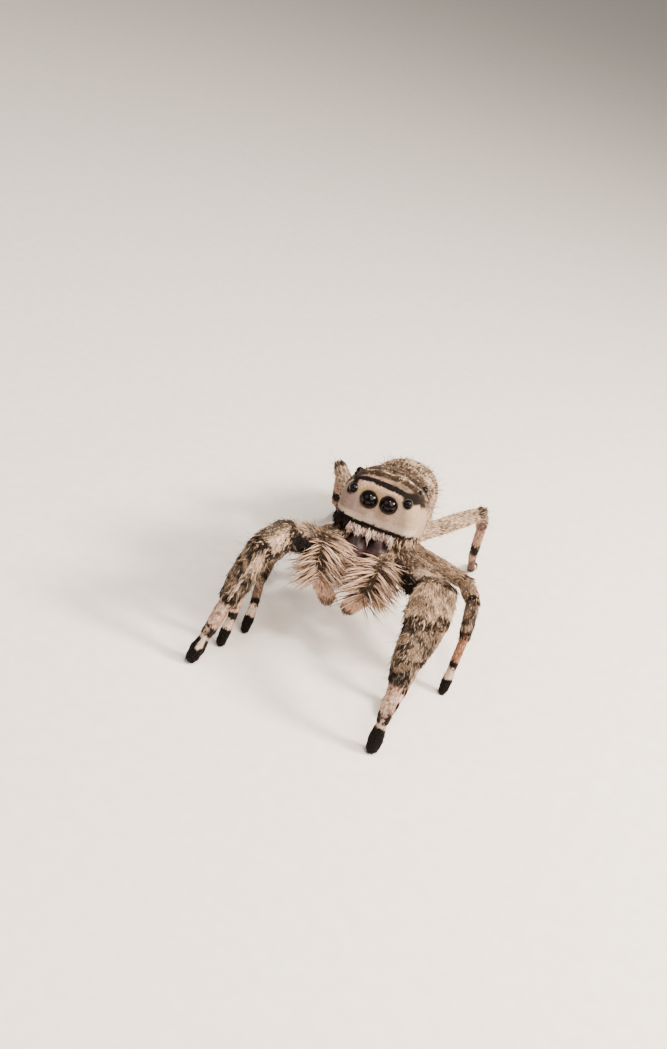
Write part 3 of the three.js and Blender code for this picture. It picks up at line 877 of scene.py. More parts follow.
def patella_markings(part, local, colours, patches, flecks):
    """Sandy and grey; the right fore leg's has a pale streak between slate and black."""
    share, top, inner = local.T
    around = np.degrees(np.arctan2(inner, top)) + 14 * flecks
    colours[:] = INK["sand"]
    paint(colours, smooth(-0.1, -0.4, patches) * 0.5, "cream")
    paint(colours, smooth(0.1, 0.4, patches) * 0.7, "grey")
    if part.node == "right_leg_1_patella":
        streak = band(around, *PATELLA_STREAK, 10)
        paint(colours, streak, "cream")
        paint(colours, streak * smooth(0.05, 0.3, flecks) * 0.6, "sand")
        paint(colours, band(around, *PATELLA_LIGHT, 8) * smooth(0.1, -0.2, flecks), "white")
        paint(colours, smooth(14, 4, around) * 0.85, "slate")
        paint(colours, smooth(80, 92, around), "black")
        paint(colours, smooth(0.34, 0.2, share + 0.35 * flecks) * smooth(15, 35, around), "black")
    paint(colours, smooth(0.1, -0.4, top) * 0.7, "slate")
    if part.pair == 4:
        paint(colours, np.full(len(share), 0.7), "mauve")
    # painted shade in the partings of the coat
    paint(colours, shaded_partings(patches, flecks) * 0.9, "brown")
    paint(colours, end_ring(part, share, 0.04 * flecks) * smooth(0.45, 0.15, flecks), "dark")


def tibia_markings(part, local, colours, patches, flecks):
    """Grey and slate with black spots; the hindmost one is rosy with a broad dark band."""
    share, top, inner = local.T
    around = np.degrees(np.arctan2(inner, top)) + 7 * flecks
    colours[:] = INK["grey"]
    paint(colours, smooth(0.0, 0.3, patches) * 0.85, "slate")
    paint(colours, smooth(-0.15, -0.4, patches) * 0.6, "sand")
    if part.node == "right_leg_1_tibia":
        paint(colours, smooth(-0.1, 0.3, flecks) * 0.9, "slate")
        streak = band(around, *TIBIA_STREAK, 8) * smooth(0.4, 0.3, share + 0.1 * flecks)
        paint(colours, streak * 0.8, "cream")
        paint(colours, band(around, *TIBIA_LIGHT, 3) * smooth(0.95, 0.88, share), "white")
    if part.pair == 4:
        paint(colours, np.full(len(share), 0.6), "blush")
        paint(colours, band(share, *HIND_TIBIA_BAND, 0.04), "dark")
        return
    # painted shade in the partings of the coat
    paint(colours, shaded_partings(patches, flecks), "dark")
    spots = smooth(0.35, 0.5, patches * 0.5 + flecks * 0.8)
    paint(colours, spots * 0.9, "black")
    paint(colours, end_ring(part, share, 0.05 * flecks) * smooth(0.35, 0.15, patches), "dark")


def metatarsus_markings(part, local, colours, patches, flecks):
    """Rosy, rust or mauve by pair, paler on top, with a dark ring near its end."""
    share, top, inner = local.T
    ground = {3: "rust" if part.side > 0 else "mauve", 4: "mauve"}
    colours[:] = INK[ground.get(part.pair, "blush")]
    paint(colours, np.full(len(share), 0.3), "sand")
    light = "white" if part.pair < 3 else "sand"
    paint(colours, smooth(0.2, 0.6, top) * smooth(0.3, -0.1, flecks) * 0.5, light)
    paint(colours, smooth(0.3, -0.3, top) * 0.55, "mauve")
    paint(colours, smooth(0.3, 0.45, flecks * 0.8 + patches * 0.4) * 0.7, "umber")
    ring = end_ring(part, share, 0.03 * flecks)
    solid = 1.0 if part.pair > 1 else smooth(0.1, 0.5, np.abs(inner) + 0.4 * flecks)
    paint(colours, ring * (0.35 + 0.65 * solid), "brown")
    paint(colours, ring * solid * smooth(-0.3, 0.1, flecks), "black")


def tarsus_markings(part, local, colours, patches, flecks):
    """A pale neck, and a black foot with a pale streak along its upper side."""
    share, top, inner = local.T
    around = np.degrees(np.arctan2(inner, top)) + 10 * flecks
    colours[:] = INK["blush"]
    paint(colours, smooth(0.3, 0.8, top) * 0.8, "white")
    neck = FOOT_NECK["front" if part.pair == 1 else "hind"]
    paint(colours, smooth(neck, neck + 0.05, share + 0.04 * flecks), "black")
    if part.node == "right_leg_1_tarsus":
        streak = band(around, *FOOT_STREAK, 6) * smooth(0.52, 0.44, share + 0.1 * flecks)
        paint(colours, streak, "white")


def palp_markings(part, local, colours, patches, flecks):
    """Sandy with slate patches of painted shade, brown painted shade at the bend under the fans, then a
    rosy end with a dark tip.
    """
    share = local[:, 0]
    colours[:] = INK["sand"]
    paint(colours, smooth(-0.1, 0.3, patches) * 0.8, "slate")
    paint(colours, smooth(0.1, 0.4, flecks) * 0.7, "cream")
    if part.region == "upper":
        # brown painted shade at the upper part's end, under the fans
        paint(colours, smooth(0.62, 0.72, share) * 0.85, "brown")
    if part.region == "lower":
        # brown painted shade at the lower part's start, under the fans
        paint(colours, smooth(0.38, 0.28, share) * 0.9, "brown")
        paint(colours, smooth(0.3, 0.5, share), "blush")
        paint(colours, smooth(0.45, 0.6, share) * smooth(-0.2, 0.2, flecks) * 0.7, "cream")
        paint(colours, smooth(0.78, 0.9, share + 0.08 * flecks) * 0.9, "umber")


LIMB_MARKINGS = {
    "femur": femur_markings,
    "patella": patella_markings,
    "tibia": tibia_markings,
    "metatarsus": metatarsus_markings,
    "tarsus": tarsus_markings,
    "upper": palp_markings,
    "lower": palp_markings,
}


def markings(places, owners):
    """The colour of skin and coat alike at each place."""
    colours = np.zeros((len(places), 3))
    patches = grain(places, PATCH_SIZE)
    flecks = grain(places, FLECK_SIZE, 1)
    for index in np.unique(owners):
        part = PARTS[index]
        mine = owners == index
        local, shades = part.local(places[mine]), colours[mine]
        if part is HEAD:
            head_markings(local, shades, patches[mine], flecks[mine])
        elif part.region == "abdomen":
            abdomen_markings(local, shades, patches[mine], flecks[mine])
        elif part.region in LIMB_MARKINGS:
            LIMB_MARKINGS[part.region](part, local, shades, patches[mine], flecks[mine])
        else:
            shades[:] = INK["umber"]
        colours[mine] = shades
    return colours


# ---------- Places on the skin ----------


class Surface:
    """Places on the skin with their normals, parts, local measures and the coat's lie."""

    def __init__(self, places, normals, owners):
        self.places = places
        self.normals = normals
        self.owners = owners
        self.local = np.zeros((len(places), 3))
        self.lie = np.zeros((len(places), 3))
        for index in np.unique(owners):
            mine = owners == index
            self.local[mine] = PARTS[index].local(places[mine])
            self.lie[mine] = PARTS[index].flow(self.local[mine])
        self.turn_from_eyes()

    def turn_from_eyes(self):
        """Round each eye the coat lies away from the lens."""
        for node in eye_nodes():
            radius = eye_radius(node)
            away = self.places - eye_middle(node)
            near = smooth(EYE_TURN[0] * radius, EYE_TURN[1] * radius, np.linalg.norm(away, axis=1))
            self.lie += (3 * near[:, None]) * unit(away)

    def chosen(self, keep):
        return Surface(self.places[keep], self.normals[keep], self.owners[keep])

    def regions(self):
        names = np.array([part.region for part in PARTS])[self.owners].astype("U10")
        head = names == "head"
        _, y, z = self.local.T
        names[head] = "flank"
        names[head & (z > CROWN_BOTTOM)] = "crown"
        names[head & (y < FACE_BACK) & (z < CROWN_BOTTOM) & (z > FACE_BOTTOM)] = "face"
        names[head & (y < FOREHEAD_BACK) & (z > FACE_BOTTOM)] = "face"
        return names

    def of_parts(self, name):
        """A value of each place's part, such as its radius."""
        return np.array([getattr(part, name) for part in PARTS])[self.owners]

    def on_limb(self):
        return self.of_parts("side") != 0

    def unwrap(self):
        """Where each place lies on the unwrap: large cells for the bodies, small ones for the rest."""
        spots = np.zeros((len(self.places), 2))
        for index in np.unique(self.owners):
            mine = self.owners == index
            inside = CELL_MARGIN + (1 - 2 * CELL_MARGIN) * PARTS[index].unwrap(self.local[mine])
            if index < 2:
                spots[mine] = inside * 0.5 + (0.5 * index, 0.5)
            else:
                row, column = divmod(index - 2, SMALL_COLUMNS)
                size = np.array([1 / SMALL_COLUMNS, 1 / SMALL_ROWS])
                spots[mine] = inside * size + (column / SMALL_COLUMNS, row / SMALL_ROWS)
        return spots


def eye_nodes():
    return [f"{side}_{eye}" for side in SIDES for eye in EYES]


def scatter(density):
    """Random places on the skin, so many to each square millimetre, clear of the lenses."""
    corners, normals, owners = SKIN.places, SKIN.normals, SKIN.owners
    a, b, c = (corners[SKIN_TRIANGLES[:, i]] for i in range(3))
    area = np.linalg.norm(np.cross(b - a, c - a), axis=1) / 2
    wanted = area * density[SKIN_TRIANGLES].mean(1)
    counts = np.floor(wanted + random.random(len(wanted))).astype(int)
    chosen = np.repeat(np.arange(len(counts)), counts)
    first, second = random.random((2, len(chosen)))
    flip = first + second > 1
    first[flip], second[flip] = 1 - first[flip], 1 - second[flip]
    weights = np.column_stack([1 - first - second, first, second])[:, :, None]
    picked = SKIN_TRIANGLES[chosen]
    places = (corners[picked] * weights).sum(1)
    clear = np.ones(len(places), bool)
    for node in eye_nodes():
        away = np.linalg.norm(places - eye_middle(node), axis=1)
        clear &= away > LENS_CLEARANCE * eye_radius(node)
    slopes = unit((normals[picked] * weights).sum(1))
    return Surface(places[clear], slopes[clear], owners[picked[:, 0]][clear])


# ---------- Tufts ----------

SHORT_RINGS = 2
LONG_RINGS = 3
RING_SHARES = {SHORT_RINGS: [0.0, 0.5], LONG_RINGS: [0.0, 0.36, 0.72]}  # where along a tuft they sit
RING_WIDTHS = {SHORT_RINGS: [1.0, 0.85], LONG_RINGS: [0.85, 1.0, 0.62]}
ROOT_SINK = 0.03  # how deep a tuft's root is buried
FLATNESS = 0.45  # thickness of a tuft as a share of its width
TWIST = 0.35  # how far tufts turn about their own length, in radians
SCATTER_LIMITS = (0.4, 1.9)  # least and most that a scattered value keeps of its own
STRAY = (0.6, 1.2)  # how much tufts stray sideways, each alone and in clumps
UNEVEN_RISE = (0.25, 0.35)  # and how unevenly they rise
RISE_SHARES = (0.3, 1.8)  # least and most of the lift asked for
RISE_LIMITS = (2, 85)  # degrees


def scattered(values, spread):
    """Values that differ from tuft to tuft by about the given share."""
    return values * np.clip(1 + spread * random.standard_normal(len(values)), *SCATTER_LIMITS)


def lying(surface, lift, spread, clump=0.3):
    """Directions along the coat's lie, lifted from the skin; neighbours stray together in clumps."""
    normals = surface.normals
    flat = unit(surface.lie - (surface.lie * normals).sum(1, keepdims=True) * normals)
    aside = np.cross(normals, flat)
    count = len(lift)
    stray = STRAY[0] * random.standard_normal(count) + STRAY[1] * grain(surface.places, clump, 4)
    turn = (spread * stray)[:, None]
    along = flat * np.cos(turn) + aside * np.sin(turn)
    alone, together = UNEVEN_RISE
    uneven = 1 + alone * random.standard_normal(count) + together * grain(surface.places, clump, 5)
    rise = np.radians(np.clip(lift * np.clip(uneven, *RISE_SHARES), *RISE_LIMITS))[:, None]
    return along * np.cos(rise) + normals * np.sin(rise)


def tuft_corners(surface, start, pull, length, width, rings):
    """The rings and tip of each tuft: a closed, flat, tapering blade that bends as it grows."""
    side = unit(np.cross(start, surface.normals) + 0.02 * surface.lie)
    twist = (TWIST * random.standard_normal(len(start)))[:, None]
    side = side * np.cos(twist) + np.cross(start, side) * np.sin(twist)
    root = surface.places - surface.normals * ROOT_SINK
    corners = []
    for share, taper in zip(RING_SHARES[rings], RING_WIDTHS[rings]):
        middle = root + length[:, None] * (start * share + pull * share ** 2 / 2)
        tangent = unit(start + pull * share)
        across = unit(side - (side * tangent).sum(1, keepdims=True) * tangent)
        thick = np.cross(across, tangent)
        half = (width * taper / 2)[:, None]
        corners += [middle - across * half, middle + across * half, middle + thick * half * 2 * FLATNESS]
    corners.append(root + length[:, None] * (start + pull / 2))
    return np.stack(corners, axis=1)


def tuft_faces(count, rings):
    """The triangles of all tufts: the sides between rings, the tip and the root's cap."""
    size = 3 * rings + 1
    one = []
    for ring in range(rings - 1):
        for side in range(3):
            a = 3 * ring + side
            b = 3 * ring + (side + 1) % 3
            one += [(a, b, b + 3), (a, b + 3, a + 3)]
    last = 3 * (rings - 1)
    one += [(last + side, last + (side + 1) % 3, size - 1) for side in range(3)]
    one.append((0, 2, 1))
    one = np.array(one)
    return (np.arange(count)[:, None, None] * size + one).reshape(-1, 3)


def tuft_patches(spots, rings):
    """Each tuft's corners on its own small patch of the unwrap."""
    offsets = [(side * 0.4, share - 0.5) for share in RING_SHARES[rings] for side in (-1, 1, 0)]
    offsets.append((0, 0.5))
    return spots[:, None, :] + PATCH * np.array(offsets)[None]


def tuft_piece(name, slot, surface, corners, colours, rings, root_painted_shade=0.7, tip_painted_light=1.12):
    """One piece of the coat, as one joined mesh of closed tufts with painted shade at the roots and
    painted light at the tips.
    """
    count, size, _ = corners.shape
    faces = tuft_faces(count, rings)
    mesh = bpy.data.meshes.new(name)
    mesh.vertices.add(count * size)
    mesh.vertices.foreach_set("co", corners.ravel())
    mesh.loops.add(faces.size)
    mesh.loops.foreach_set("vertex_index", faces.ravel())
    mesh.polygons.add(len(faces))
    mesh.polygons.foreach_set("loop_start", np.arange(0, faces.size, 3))
    mesh.update(calc_edges=True)
    patches = tuft_patches(surface.unwrap(), rings).reshape(-1, 2)
    layer = mesh.uv_layers.new(name="OFBake")
    layer.uv.foreach_set("vector", patches[faces.ravel()].ravel())
    # Each tuft darkens towards its root and brightens towards its tip: painted shade deep in the coat,
    # painted light on the tips.
    shares = np.repeat(np.array(RING_SHARES[rings] + [1.0]), [3] * rings + [1])
    shades = root_painted_shade + (tip_painted_light - root_painted_shade) * shares
    set_colours(mesh, (colours[:, None, :] * shades[None, :, None]).reshape(-1, 3))
    piece = bpy.data.objects.new(name, mesh)
    bpy.context.collection.objects.link(piece)
    finish_piece(piece, slot, MATERIALS["hair"])


def coat_colours(surface, start, length, uneven, strays):
    """The markings under each tuft's middle, uneven, with a share of dark and pale hairs among them."""
    middles = surface.places + start * (0.5 * length)[:, None]
    colours = markings(middles, surface.owners)
    colours *= np.clip(1 + uneven * random.standard_normal(len(colours)), 0.55, 1.5)[:, None]
    draw = random.random(len(colours))
    colours[draw < strays] *= DARK_HAIR
    pale = (draw > 1 - strays) & (colours.mean(1) > BLACK_BELOW)
    colours[pale] += PALE_HAIR * (INK["white"] - colours[pale])
    return colours


# ---------- Materials ----------

# The sizes of all patterns are millimetres.
STRAND_DEPTH = 0.03  # how far the strands of hair stand up from a hair's or the skin's surface


def add_node(tree, kind, settings=None, **links):
    """A node with its settings, fed by (node, output) links into the named inputs."""
    node = tree.nodes.new("ShaderNode" + kind)
    for key, value in (settings or {}).items():
        if key in node.inputs and not hasattr(node, key):
            node.inputs[key].default_value = value
        else:
            setattr(node, key, value)
    for key, (source, output) in links.items():
        tree.links.new(source.outputs[output], node.inputs[key.replace("_", " ")])
    return node


def new_material(name, settings):
    material = bpy.data.materials.new(name)
    material.use_nodes = True
    tree = material.node_tree
    shader = tree.nodes["Principled BSDF"]
    for key, value in settings.items():
        shader.inputs[key].default_value = value
    return material, tree, shader


def coat_material(name, roughness, sheen, speckle, strand):
    """Dull, soft hair: the markings' colour, a little uneven, with a faint pale bloom."""
    settings = {"Roughness": roughness, "IOR": 1.55, "Specular IOR Level": 0.1,
                "Sheen Weight": sheen, "Sheen Roughness": 0.5}
    material, tree, shader = new_material(name, settings)
    places = add_node(tree, "TexCoord")
    colour = add_node(tree, "Attribute", {"attribute_name": "coat_colour"})
    lumps = {"Scale": 1 / (speckle * MM), "Detail": 3.0}
    speckles = add_node(tree, "TexNoise", lumps, Vector=(places, "Object"))
    span = {"From Min": 0.3, "From Max": 0.7, "To Min": 0.85, "To Max": 1.15}
    uneven = add_node(tree, "MapRange", span, Value=(speckles, "Fac"))
    sources = {"Vector": (colour, "Color"), "Scale": (uneven, "Result")}
    mixed = add_node(tree, "VectorMath", {"operation": "SCALE"}, **sources)
    tree.links.new(mixed.outputs["Vector"], shader.inputs["Base Color"])
    lumps = {"Scale": 1 / (strand * MM), "Detail": 2.0}
    strands = add_node(tree, "TexNoise", lumps, Vector=(places, "Object"))
    relief = {"Strength": 0.5, "Distance": STRAND_DEPTH * MM}
    bump = add_node(tree, "Bump", relief, Height=(strands, "Fac"))
    tree.links.new(bump.outputs["Normal"], shader.inputs["Normal"])
    return material


def shell_material(name, dark, light, cloud, settings, pit=0, pit_depth=0.02):
    """A hard surface whose colour drifts between two shades, with fine pits where they are wanted."""
    material, tree, shader = new_material(name, settings)
    places = add_node(tree, "TexCoord")
    lumps = {"Scale": 1 / (cloud * MM), "Detail": 4.0}
    clouds = add_node(tree, "TexNoise", lumps, Vector=(places, "Object"))
    ramp = add_node(tree, "ValToRGB", None, Fac=(clouds, "Fac"))
    for element, position, colour in zip(ramp.color_ramp.elements, (0.38, 0.66), (dark, light)):
        element.position = position
        element.color = (*linear(colour), 1)
    tree.links.new(ramp.outputs["Color"], shader.inputs["Base Color"])
    if pit:
        lumps = {"Scale": 1 / (pit * MM), "Detail": 2.0}
        pits = add_node(tree, "TexNoise", lumps, Vector=(places, "Object"))
        relief = {"Strength": 0.4, "Distance": pit_depth * MM}
        bump = add_node(tree, "Bump", relief, Height=(pits, "Fac"))
        tree.links.new(bump.outputs["Normal"], shader.inputs["Normal"])
    return material


def matt_hair():
    """Hairs and scales, which carry the markings: quite matt, with strands about 0.04 mm apart."""
    return coat_material("matt_hair", roughness=0.7, sheen=0.015, speckle=0.2, strand=0.04)


def downy_skin():
    """The skin under the coat, duller still, with its down as bump."""
    return coat_material("downy_skin", roughness=0.85, sheen=0.01, speckle=0.12, strand=0.05)


def polished_cornea():
    """A clear, polished lens over a black retina: nearly black, with small hard highlights."""
    settings = {"Roughness": 0.02, "IOR": 1.4, "Specular IOR Level": 0.2}
    return shell_material("polished_cornea", "#050304", "#0e0709", 0.7, settings)


def dark_eye_rim():
    """Bare dark chitin round a lens, half dull, with fine pits."""
    settings = {"Roughness": 0.5, "IOR": 1.5}
    return shell_material("dark_eye_rim", "#0b0706", "#1d1310", 0.2, settings, pit=0.05)


def violet_jaw_shell():
    """Chitin of the jaws: dark and fairly dull, drifting from black to a dull violet brown."""
    settings = {"Roughness": 0.6, "IOR": 1.55, "Specular IOR Level": 0.35}
    return shell_material("violet_jaw_shell", "#0c0507", "#3b2329", 0.5, settings, pit=0.07)


def polished_fang_shell():
    """Harder chitin, worn smooth: dark brown with a clear shine."""
    settings = {"Roughness": 0.2, "IOR": 1.56}
    return shell_material("polished_fang_shell", "#100706", "#34170e", 0.3, settings, 0.08, 0.01)


def pale_card():
    """Matt pale card under the spider: almost even, with very faint clouds."""
    return shell_material("pale_card", "#e9e4de", "#efeae4", 0.8, {"Roughness": 0.85})


def make_materials():
    return {
        "hair": matt_hair(),
        "skin": downy_skin(),
        "cornea": polished_cornea(),
        "rim": dark_eye_rim(),
        "jaw": violet_jaw_shell(),
        "fang": polished_fang_shell(),
        "card": pale_card(),
    }


# ---------- Coat pieces ----------


def by_region(surface, table, column):
    """A column of a coat's table, read at each place."""
    return np.array([table[name][column] for name in surface.regions()], float)


def planted(table, wanted, limb=""):
    """Places for the hairs of the regions named, on one limb or on all, as dense as the table says."""
    names = SKIN.regions()
    values = {name: table[name][0] if name in wanted else 0.0 for name in np.unique(names)}
    here = np.array([part.node.startswith(limb) for part in PARTS])
    surface = scatter(np.array([values[name] for name in names]) * here[SKIN.owners])
    return surface.chosen(np.isin(surface.regions(), wanted) & here[surface.owners])


def short_coat(name, slot, wanted, limb="", uneven=0.12, strays=0.05):
    """The short coat of the regions named, lying along the body."""
    surface = planted(SHORT_COAT, wanted, limb)
    length = scattered(by_region(surface, SHORT_COAT, 1), 0.22)
    width = scattered(by_region(surface, SHORT_COAT, 2), 0.15)
    start = lying(surface, by_region(surface, SHORT_COAT, 3), 0.2)
    pull = -SHORT_BEND * surface.normals
    corners = tuft_corners(surface, start, pull, length, width, SHORT_RINGS)
    colours = coat_colours(surface, start, length, uneven, strays)
    tuft_piece(name, slot, surface, corners, colours, SHORT_RINGS)


def long_coat(name, slot, wanted):
    """Longer hairs in pale and dark streaks, standing out of the short coat."""
    surface = planted(LONG_COAT, wanted)
    length = scattered(by_region(surface, LONG_COAT, 1), 0.25)
    on_limb = surface.on_limb()
    length[on_limb] *= surface.of_parts("radius")[on_limb]
    width = scattered(by_region(surface, LONG_COAT, 2), 0.18)
    start = lying(surface, by_region(surface, LONG_COAT, 3), 0.2, 0.45)
    pull = -LONG_BEND * surface.normals + np.array([0, 0, -LONG_SAG])
    colours = coat_colours(surface, start, 0.4 * length, 0.16, 0.0)
    streak = grain(surface.places, STREAK_SIZE, 6) + 0.35 * random.standard_normal(len(length))
    colours[streak > 0.4] *= DARK_STREAK
    pale = (streak < 0.0) & (colours.mean(1) > STREAK_BLACK_BELOW)
    colours[pale] += PALE_STREAK * (INK["cream"] - colours[pale])
    corners = tuft_corners(surface, start, pull, length, width, LONG_RINGS)
    # milder painted shade at the roots and painted light at the tips than on the short coat
    tuft_piece(name, slot, surface, corners, colours, LONG_RINGS, root_painted_shade=0.75, tip_painted_light=1.05)


def single_hairs(name, slot, measures, wanted, ink, curl):
    """Sparse single hairs over the regions named, half in their own ink and half in the marking's."""
    density, length, width, lift = measures
    surface = scatter(density * np.isin(SKIN.regions(), wanted))
    count = len(surface.places)
    length = scattered(np.full(count, length), 0.2)
    on_limb = surface.on_limb()
    least, growth = LIMB_HAIR
    length[on_limb] *= least + growth * surface.of_parts("radius")[on_limb]
    width = scattered(np.full(count, width), 0.15)
    start = lying(surface, np.full(count, lift, float), 0.5, 0.6)
    pull = -curl * surface.normals + 0.25 * random.standard_normal((count, 3))
    corners = tuft_corners(surface, start, pull, length, width, LONG_RINGS)
    colours = 0.5 * (INK[ink] + markings(surface.places, surface.owners))
    colours *= np.clip(1 + 0.2 * random.standard_normal((count, 1)), 0.5, 1.4)
    # a little painted shade at the roots, no painted light at the tips
    tuft_piece(name, slot, surface, corners, colours, LONG_RINGS, root_painted_shade=0.9, tip_painted_light=1.0)


def feeler_fans():
    """Long pale hairs that spread sideways like fans from the bend of each feeler, and droop."""
    aside, front, above = HEAD.axes[:, 0], -HEAD.axes[:, 1], HEAD.axes[:, 2]
    regions = SKIN.regions()
    share = SKIN.local[:, 0]
    density = np.zeros(len(SKIN.places))
    for region, (low, high) in FAN_REACH.items():
        density[(regions == region) & (share > low) & (share < high)] = FAN_DENSITY
    surface = scatter(density)
    surface = surface.chosen(np.isin(surface.regions(), list(FAN_REACH)))
    count = len(surface.places)
    outer = surface.of_parts("side")
    way = np.sign(surface.normals @ aside + 0.3 * random.standard_normal(count))
    most = np.where(way == outer, FAN_DROOP["outer"], FAN_DROOP["inner"])
    droop = most * random.random(count) - 0.12
    stray = 0.12 * random.standard_normal((count, 3))
    start = way[:, None] * aside - droop[:, None] * above + 0.4 * front + stray
    start = unit(start + 0.35 * surface.normals)
    length = scattered(FAN_LENGTH * (1 - 0.35 * np.clip(droop, 0, 1)), 0.2)
    width = scattered(np.full(count, FAN_WIDTH), 0.2)
    pull = -FAN_SAG * above + 0.15 * random.standard_normal((count, 3))
    streak = grain(surface.places, FAN_STREAK_SIZE, 8) + 0.4 * random.standard_normal(count)
    colours = np.tile(0.5 * (INK["cream"] + INK["blush"]), (count, 1))
    paint(colours, smooth(-0.5, -0.8, streak), "white")
    paint(colours, smooth(0.0, 0.4, streak) * 0.8, "sand")
    paint(colours, smooth(0.5, 0.7, streak) * 0.9, "brown")
    corners = tuft_corners(surface, start, pull, length, width, LONG_RINGS)
    # strong painted shade at the fans' roots, painted light at their tips
    shades = {"root_painted_shade": 0.55, "tip_painted_light": 1.05}
    tuft_piece("feeler_fans", "white_coat", surface, corners, colours, LONG_RINGS, **shades)


def lip_brush():
    """A pale brush of clumped hairs that hangs from the face over the jaws."""
    surface = on_chin(BRUSH_DENSITY, BRUSH_TOP, 0.0, BRUSH_HALF_WIDTH)
    x = surface.local[:, 0]
    lobe = 0.8 * grain(np.column_stack([x, 0 * x, 0 * x]), BRUSH_LOBE, 9)
    # One clump near the middle and one at the left end hang lower.
    lobe += band(x, -0.2, 0.0, 0.08) + 0.9 * smooth(0.85, 1.1, x)
    colours = np.tile(INK["lilac"], (len(x), 1))
    paint(colours, smooth(-0.2, 0.8, lobe + 0.5 * random.standard_normal(len(x))) * 0.8, "white")
    hang("lip_brush", "white_coat", surface, BRUSH_LENGTH * (1 + 0.55 * lobe), BRUSH_WIDTH, colours)


def chin_tufts():
    """Olive and cream hairs that hang from the ends of the face's lower edge."""
    surface = on_chin(0.5 * BRUSH_DENSITY, CHIN_TOP, BRUSH_HALF_WIDTH, CHIN_HALF_WIDTH)
    streak = grain(surface.places, 0.2, 10)
    colours = np.tile(INK["umber"], (len(streak), 1))
    paint(colours, smooth(0.5, -0.5, surface.local[:, 0]), "dark")
    paint(colours, smooth(0.0, 0.3, streak) * smooth(0.9, 1.1, surface.local[:, 0]), "cream")
    hang("chin_tufts", "grey_coat", surface, CHIN_LENGTH * (1 + 0.4 * streak), CHIN_WIDTH, colours)


def on_chin(density, top, inner, outer):
    """Places along the face's lower edge, between two distances from its middle."""
    x, y, z = SKIN.local.T
    wide = np.abs(x)
    strip = (SKIN.owners == 0) & (y < CHIN_FRONT) & (wide >= inner) & (wide < outer)
    strip &= (z + LINE_SLANT * x < top) & (z > BRUSH_BOTTOM)
    surface = scatter(density * strip)
    return surface.chosen(surface.owners == 0)


def hang(name, slot, surface, length, width, colours):
    """Hairs that stand forward from the chin and droop."""
    front, above = -HEAD.axes[:, 1], HEAD.axes[:, 2]
    count = len(surface.places)
    stray = 0.2 * random.standard_normal((count, 3))
    start = unit(0.7 * front - 0.75 * above + 0.4 * surface.normals + stray)
    pull = np.tile(-0.4 * above - 0.5 * front, (count, 1))
    width = scattered(np.full(count, width), 0.15)
    length = scattered(length, 0.15)
    corners = tuft_corners(surface, start, pull, length, width, LONG_RINGS)
    # strong painted shade at the roots of the hanging hairs
    tuft_piece(name, slot, surface, corners, colours, LONG_RINGS, root_painted_shade=0.5, tip_painted_light=1.0)


# ---------- Eyes, jaws and fangs ----------


def add_lens(node, radius, placed):
    """A smooth dome that stands a little higher than a ball."""
    bpy.ops.object.select_all(action="DESELECT")
    bpy.ops.mesh.primitive_uv_sphere_add(segments=48, ring_count=32, radius=radius)
    lens = bpy.context.object
    lens.name = node + "_lens"
    corners, _, _ = read_mesh(lens)
    corners[:, 2] *= 1 + LENS_BULGE * smooth(0.2, 1.0, corners[:, 2] / radius)
    lens.data.vertices.foreach_set("co", corners.ravel())
    lens.data.transform(placed)
    finish_piece(lens, "eye_lens", MATERIALS["cornea"])
    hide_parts(node)


def add_rim(node, radius, sunk, placed):
    """A ring where the lens comes out of the skin, which lies so far from the lens's middle."""
    ring = math.sqrt(max(radius ** 2 - sunk ** 2, LEAST_RIM * radius ** 2))
    thickness = RIM_THICKNESS + RIM_SHARE * radius
    bpy.ops.object.select_all(action="DESELECT")
    bpy.ops.mesh.primitive_torus_add(major_radius=ring, minor_radius=thickness,
                                     major_segments=40, minor_segments=8)
    rim = bpy.context.object
    rim.name = node + "_rim"
    rim.data.transform(placed)
    finish_piece(rim, "eye_lens", MATERIALS["rim"])


def eye_pieces(tree):
    """Each eye is a lens sunk in a dark rim, and both face straight out of the skin."""
    for node in eye_nodes():
        radius = eye_radius(node)
        middle = eye_middle(node)
        place, normal, _, _ = tree.find_nearest(Vector(middle))
        outward = unit(np.array(normal))
        turn = Vector(outward).to_track_quat("Z", "Y").to_matrix().to_4x4()
        sunk = float(np.dot(np.array(place) - middle, outward))
        add_lens(node, radius, Matrix.Translation(middle) @ turn)
        add_rim(node, radius, sunk, Matrix.Translation(middle + sunk * outward) @ turn)


def smooth_shell(node, carrier, name, slot, material, voxel, rounds, swell=0.0):
    """A jaw's or fang's shape without its facets, swollen a little and rooted in what carries it."""
    solid = SOLIDS[node]
    swollen = solid.corners + swell * corner_normals(solid.corners, solid.triangles)
    corners = solid.rooted(swollen, SOLIDS[carrier])
    piece = mesh_object(name, corners, solid.triangles)
    apply_modifier(piece, "REMESH", mode="VOXEL", voxel_size=voxel)
    apply_modifier(piece, "SMOOTH", factor=0.5, iterations=rounds)
    finish_piece(piece, slot, MATERIALS[material])
    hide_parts(node)


# ---------- Studio ----------


def add_floor():
    bpy.ops.object.select_all(action="DESELECT")
    bpy.ops.mesh.primitive_plane_add(size=FLOOR_SIZE * MM)
    floor = bpy.context.object
    floor.name = "floor"
    floor.data.materials.append(MATERIALS["card"])


def pointing(turn, rise):
    """The direction towards a place so many degrees to the spider's left of its front, and above it."""
    turn, rise = math.radians(turn), math.radians(rise)
    return Vector((math.sin(turn) * math.cos(rise), -math.cos(turn) * math.cos(rise), math.sin(rise)))


def add_light(name, turn, rise, distance, size, power, colour):
    data = bpy.data.lights.new(name, "AREA")
    data.shape = "DISK"
    data.size = size * MM
    data.energy = power
    data.color = linear(colour)
    light = bpy.data.objects.new(name, data)
    bpy.context.collection.objects.link(light)
    away = pointing(turn, rise)
    light.location = Vector(HEAD.origin) * MM + away * distance * MM
    light.rotation_euler = away.to_track_quat("Z", "Y").to_euler()


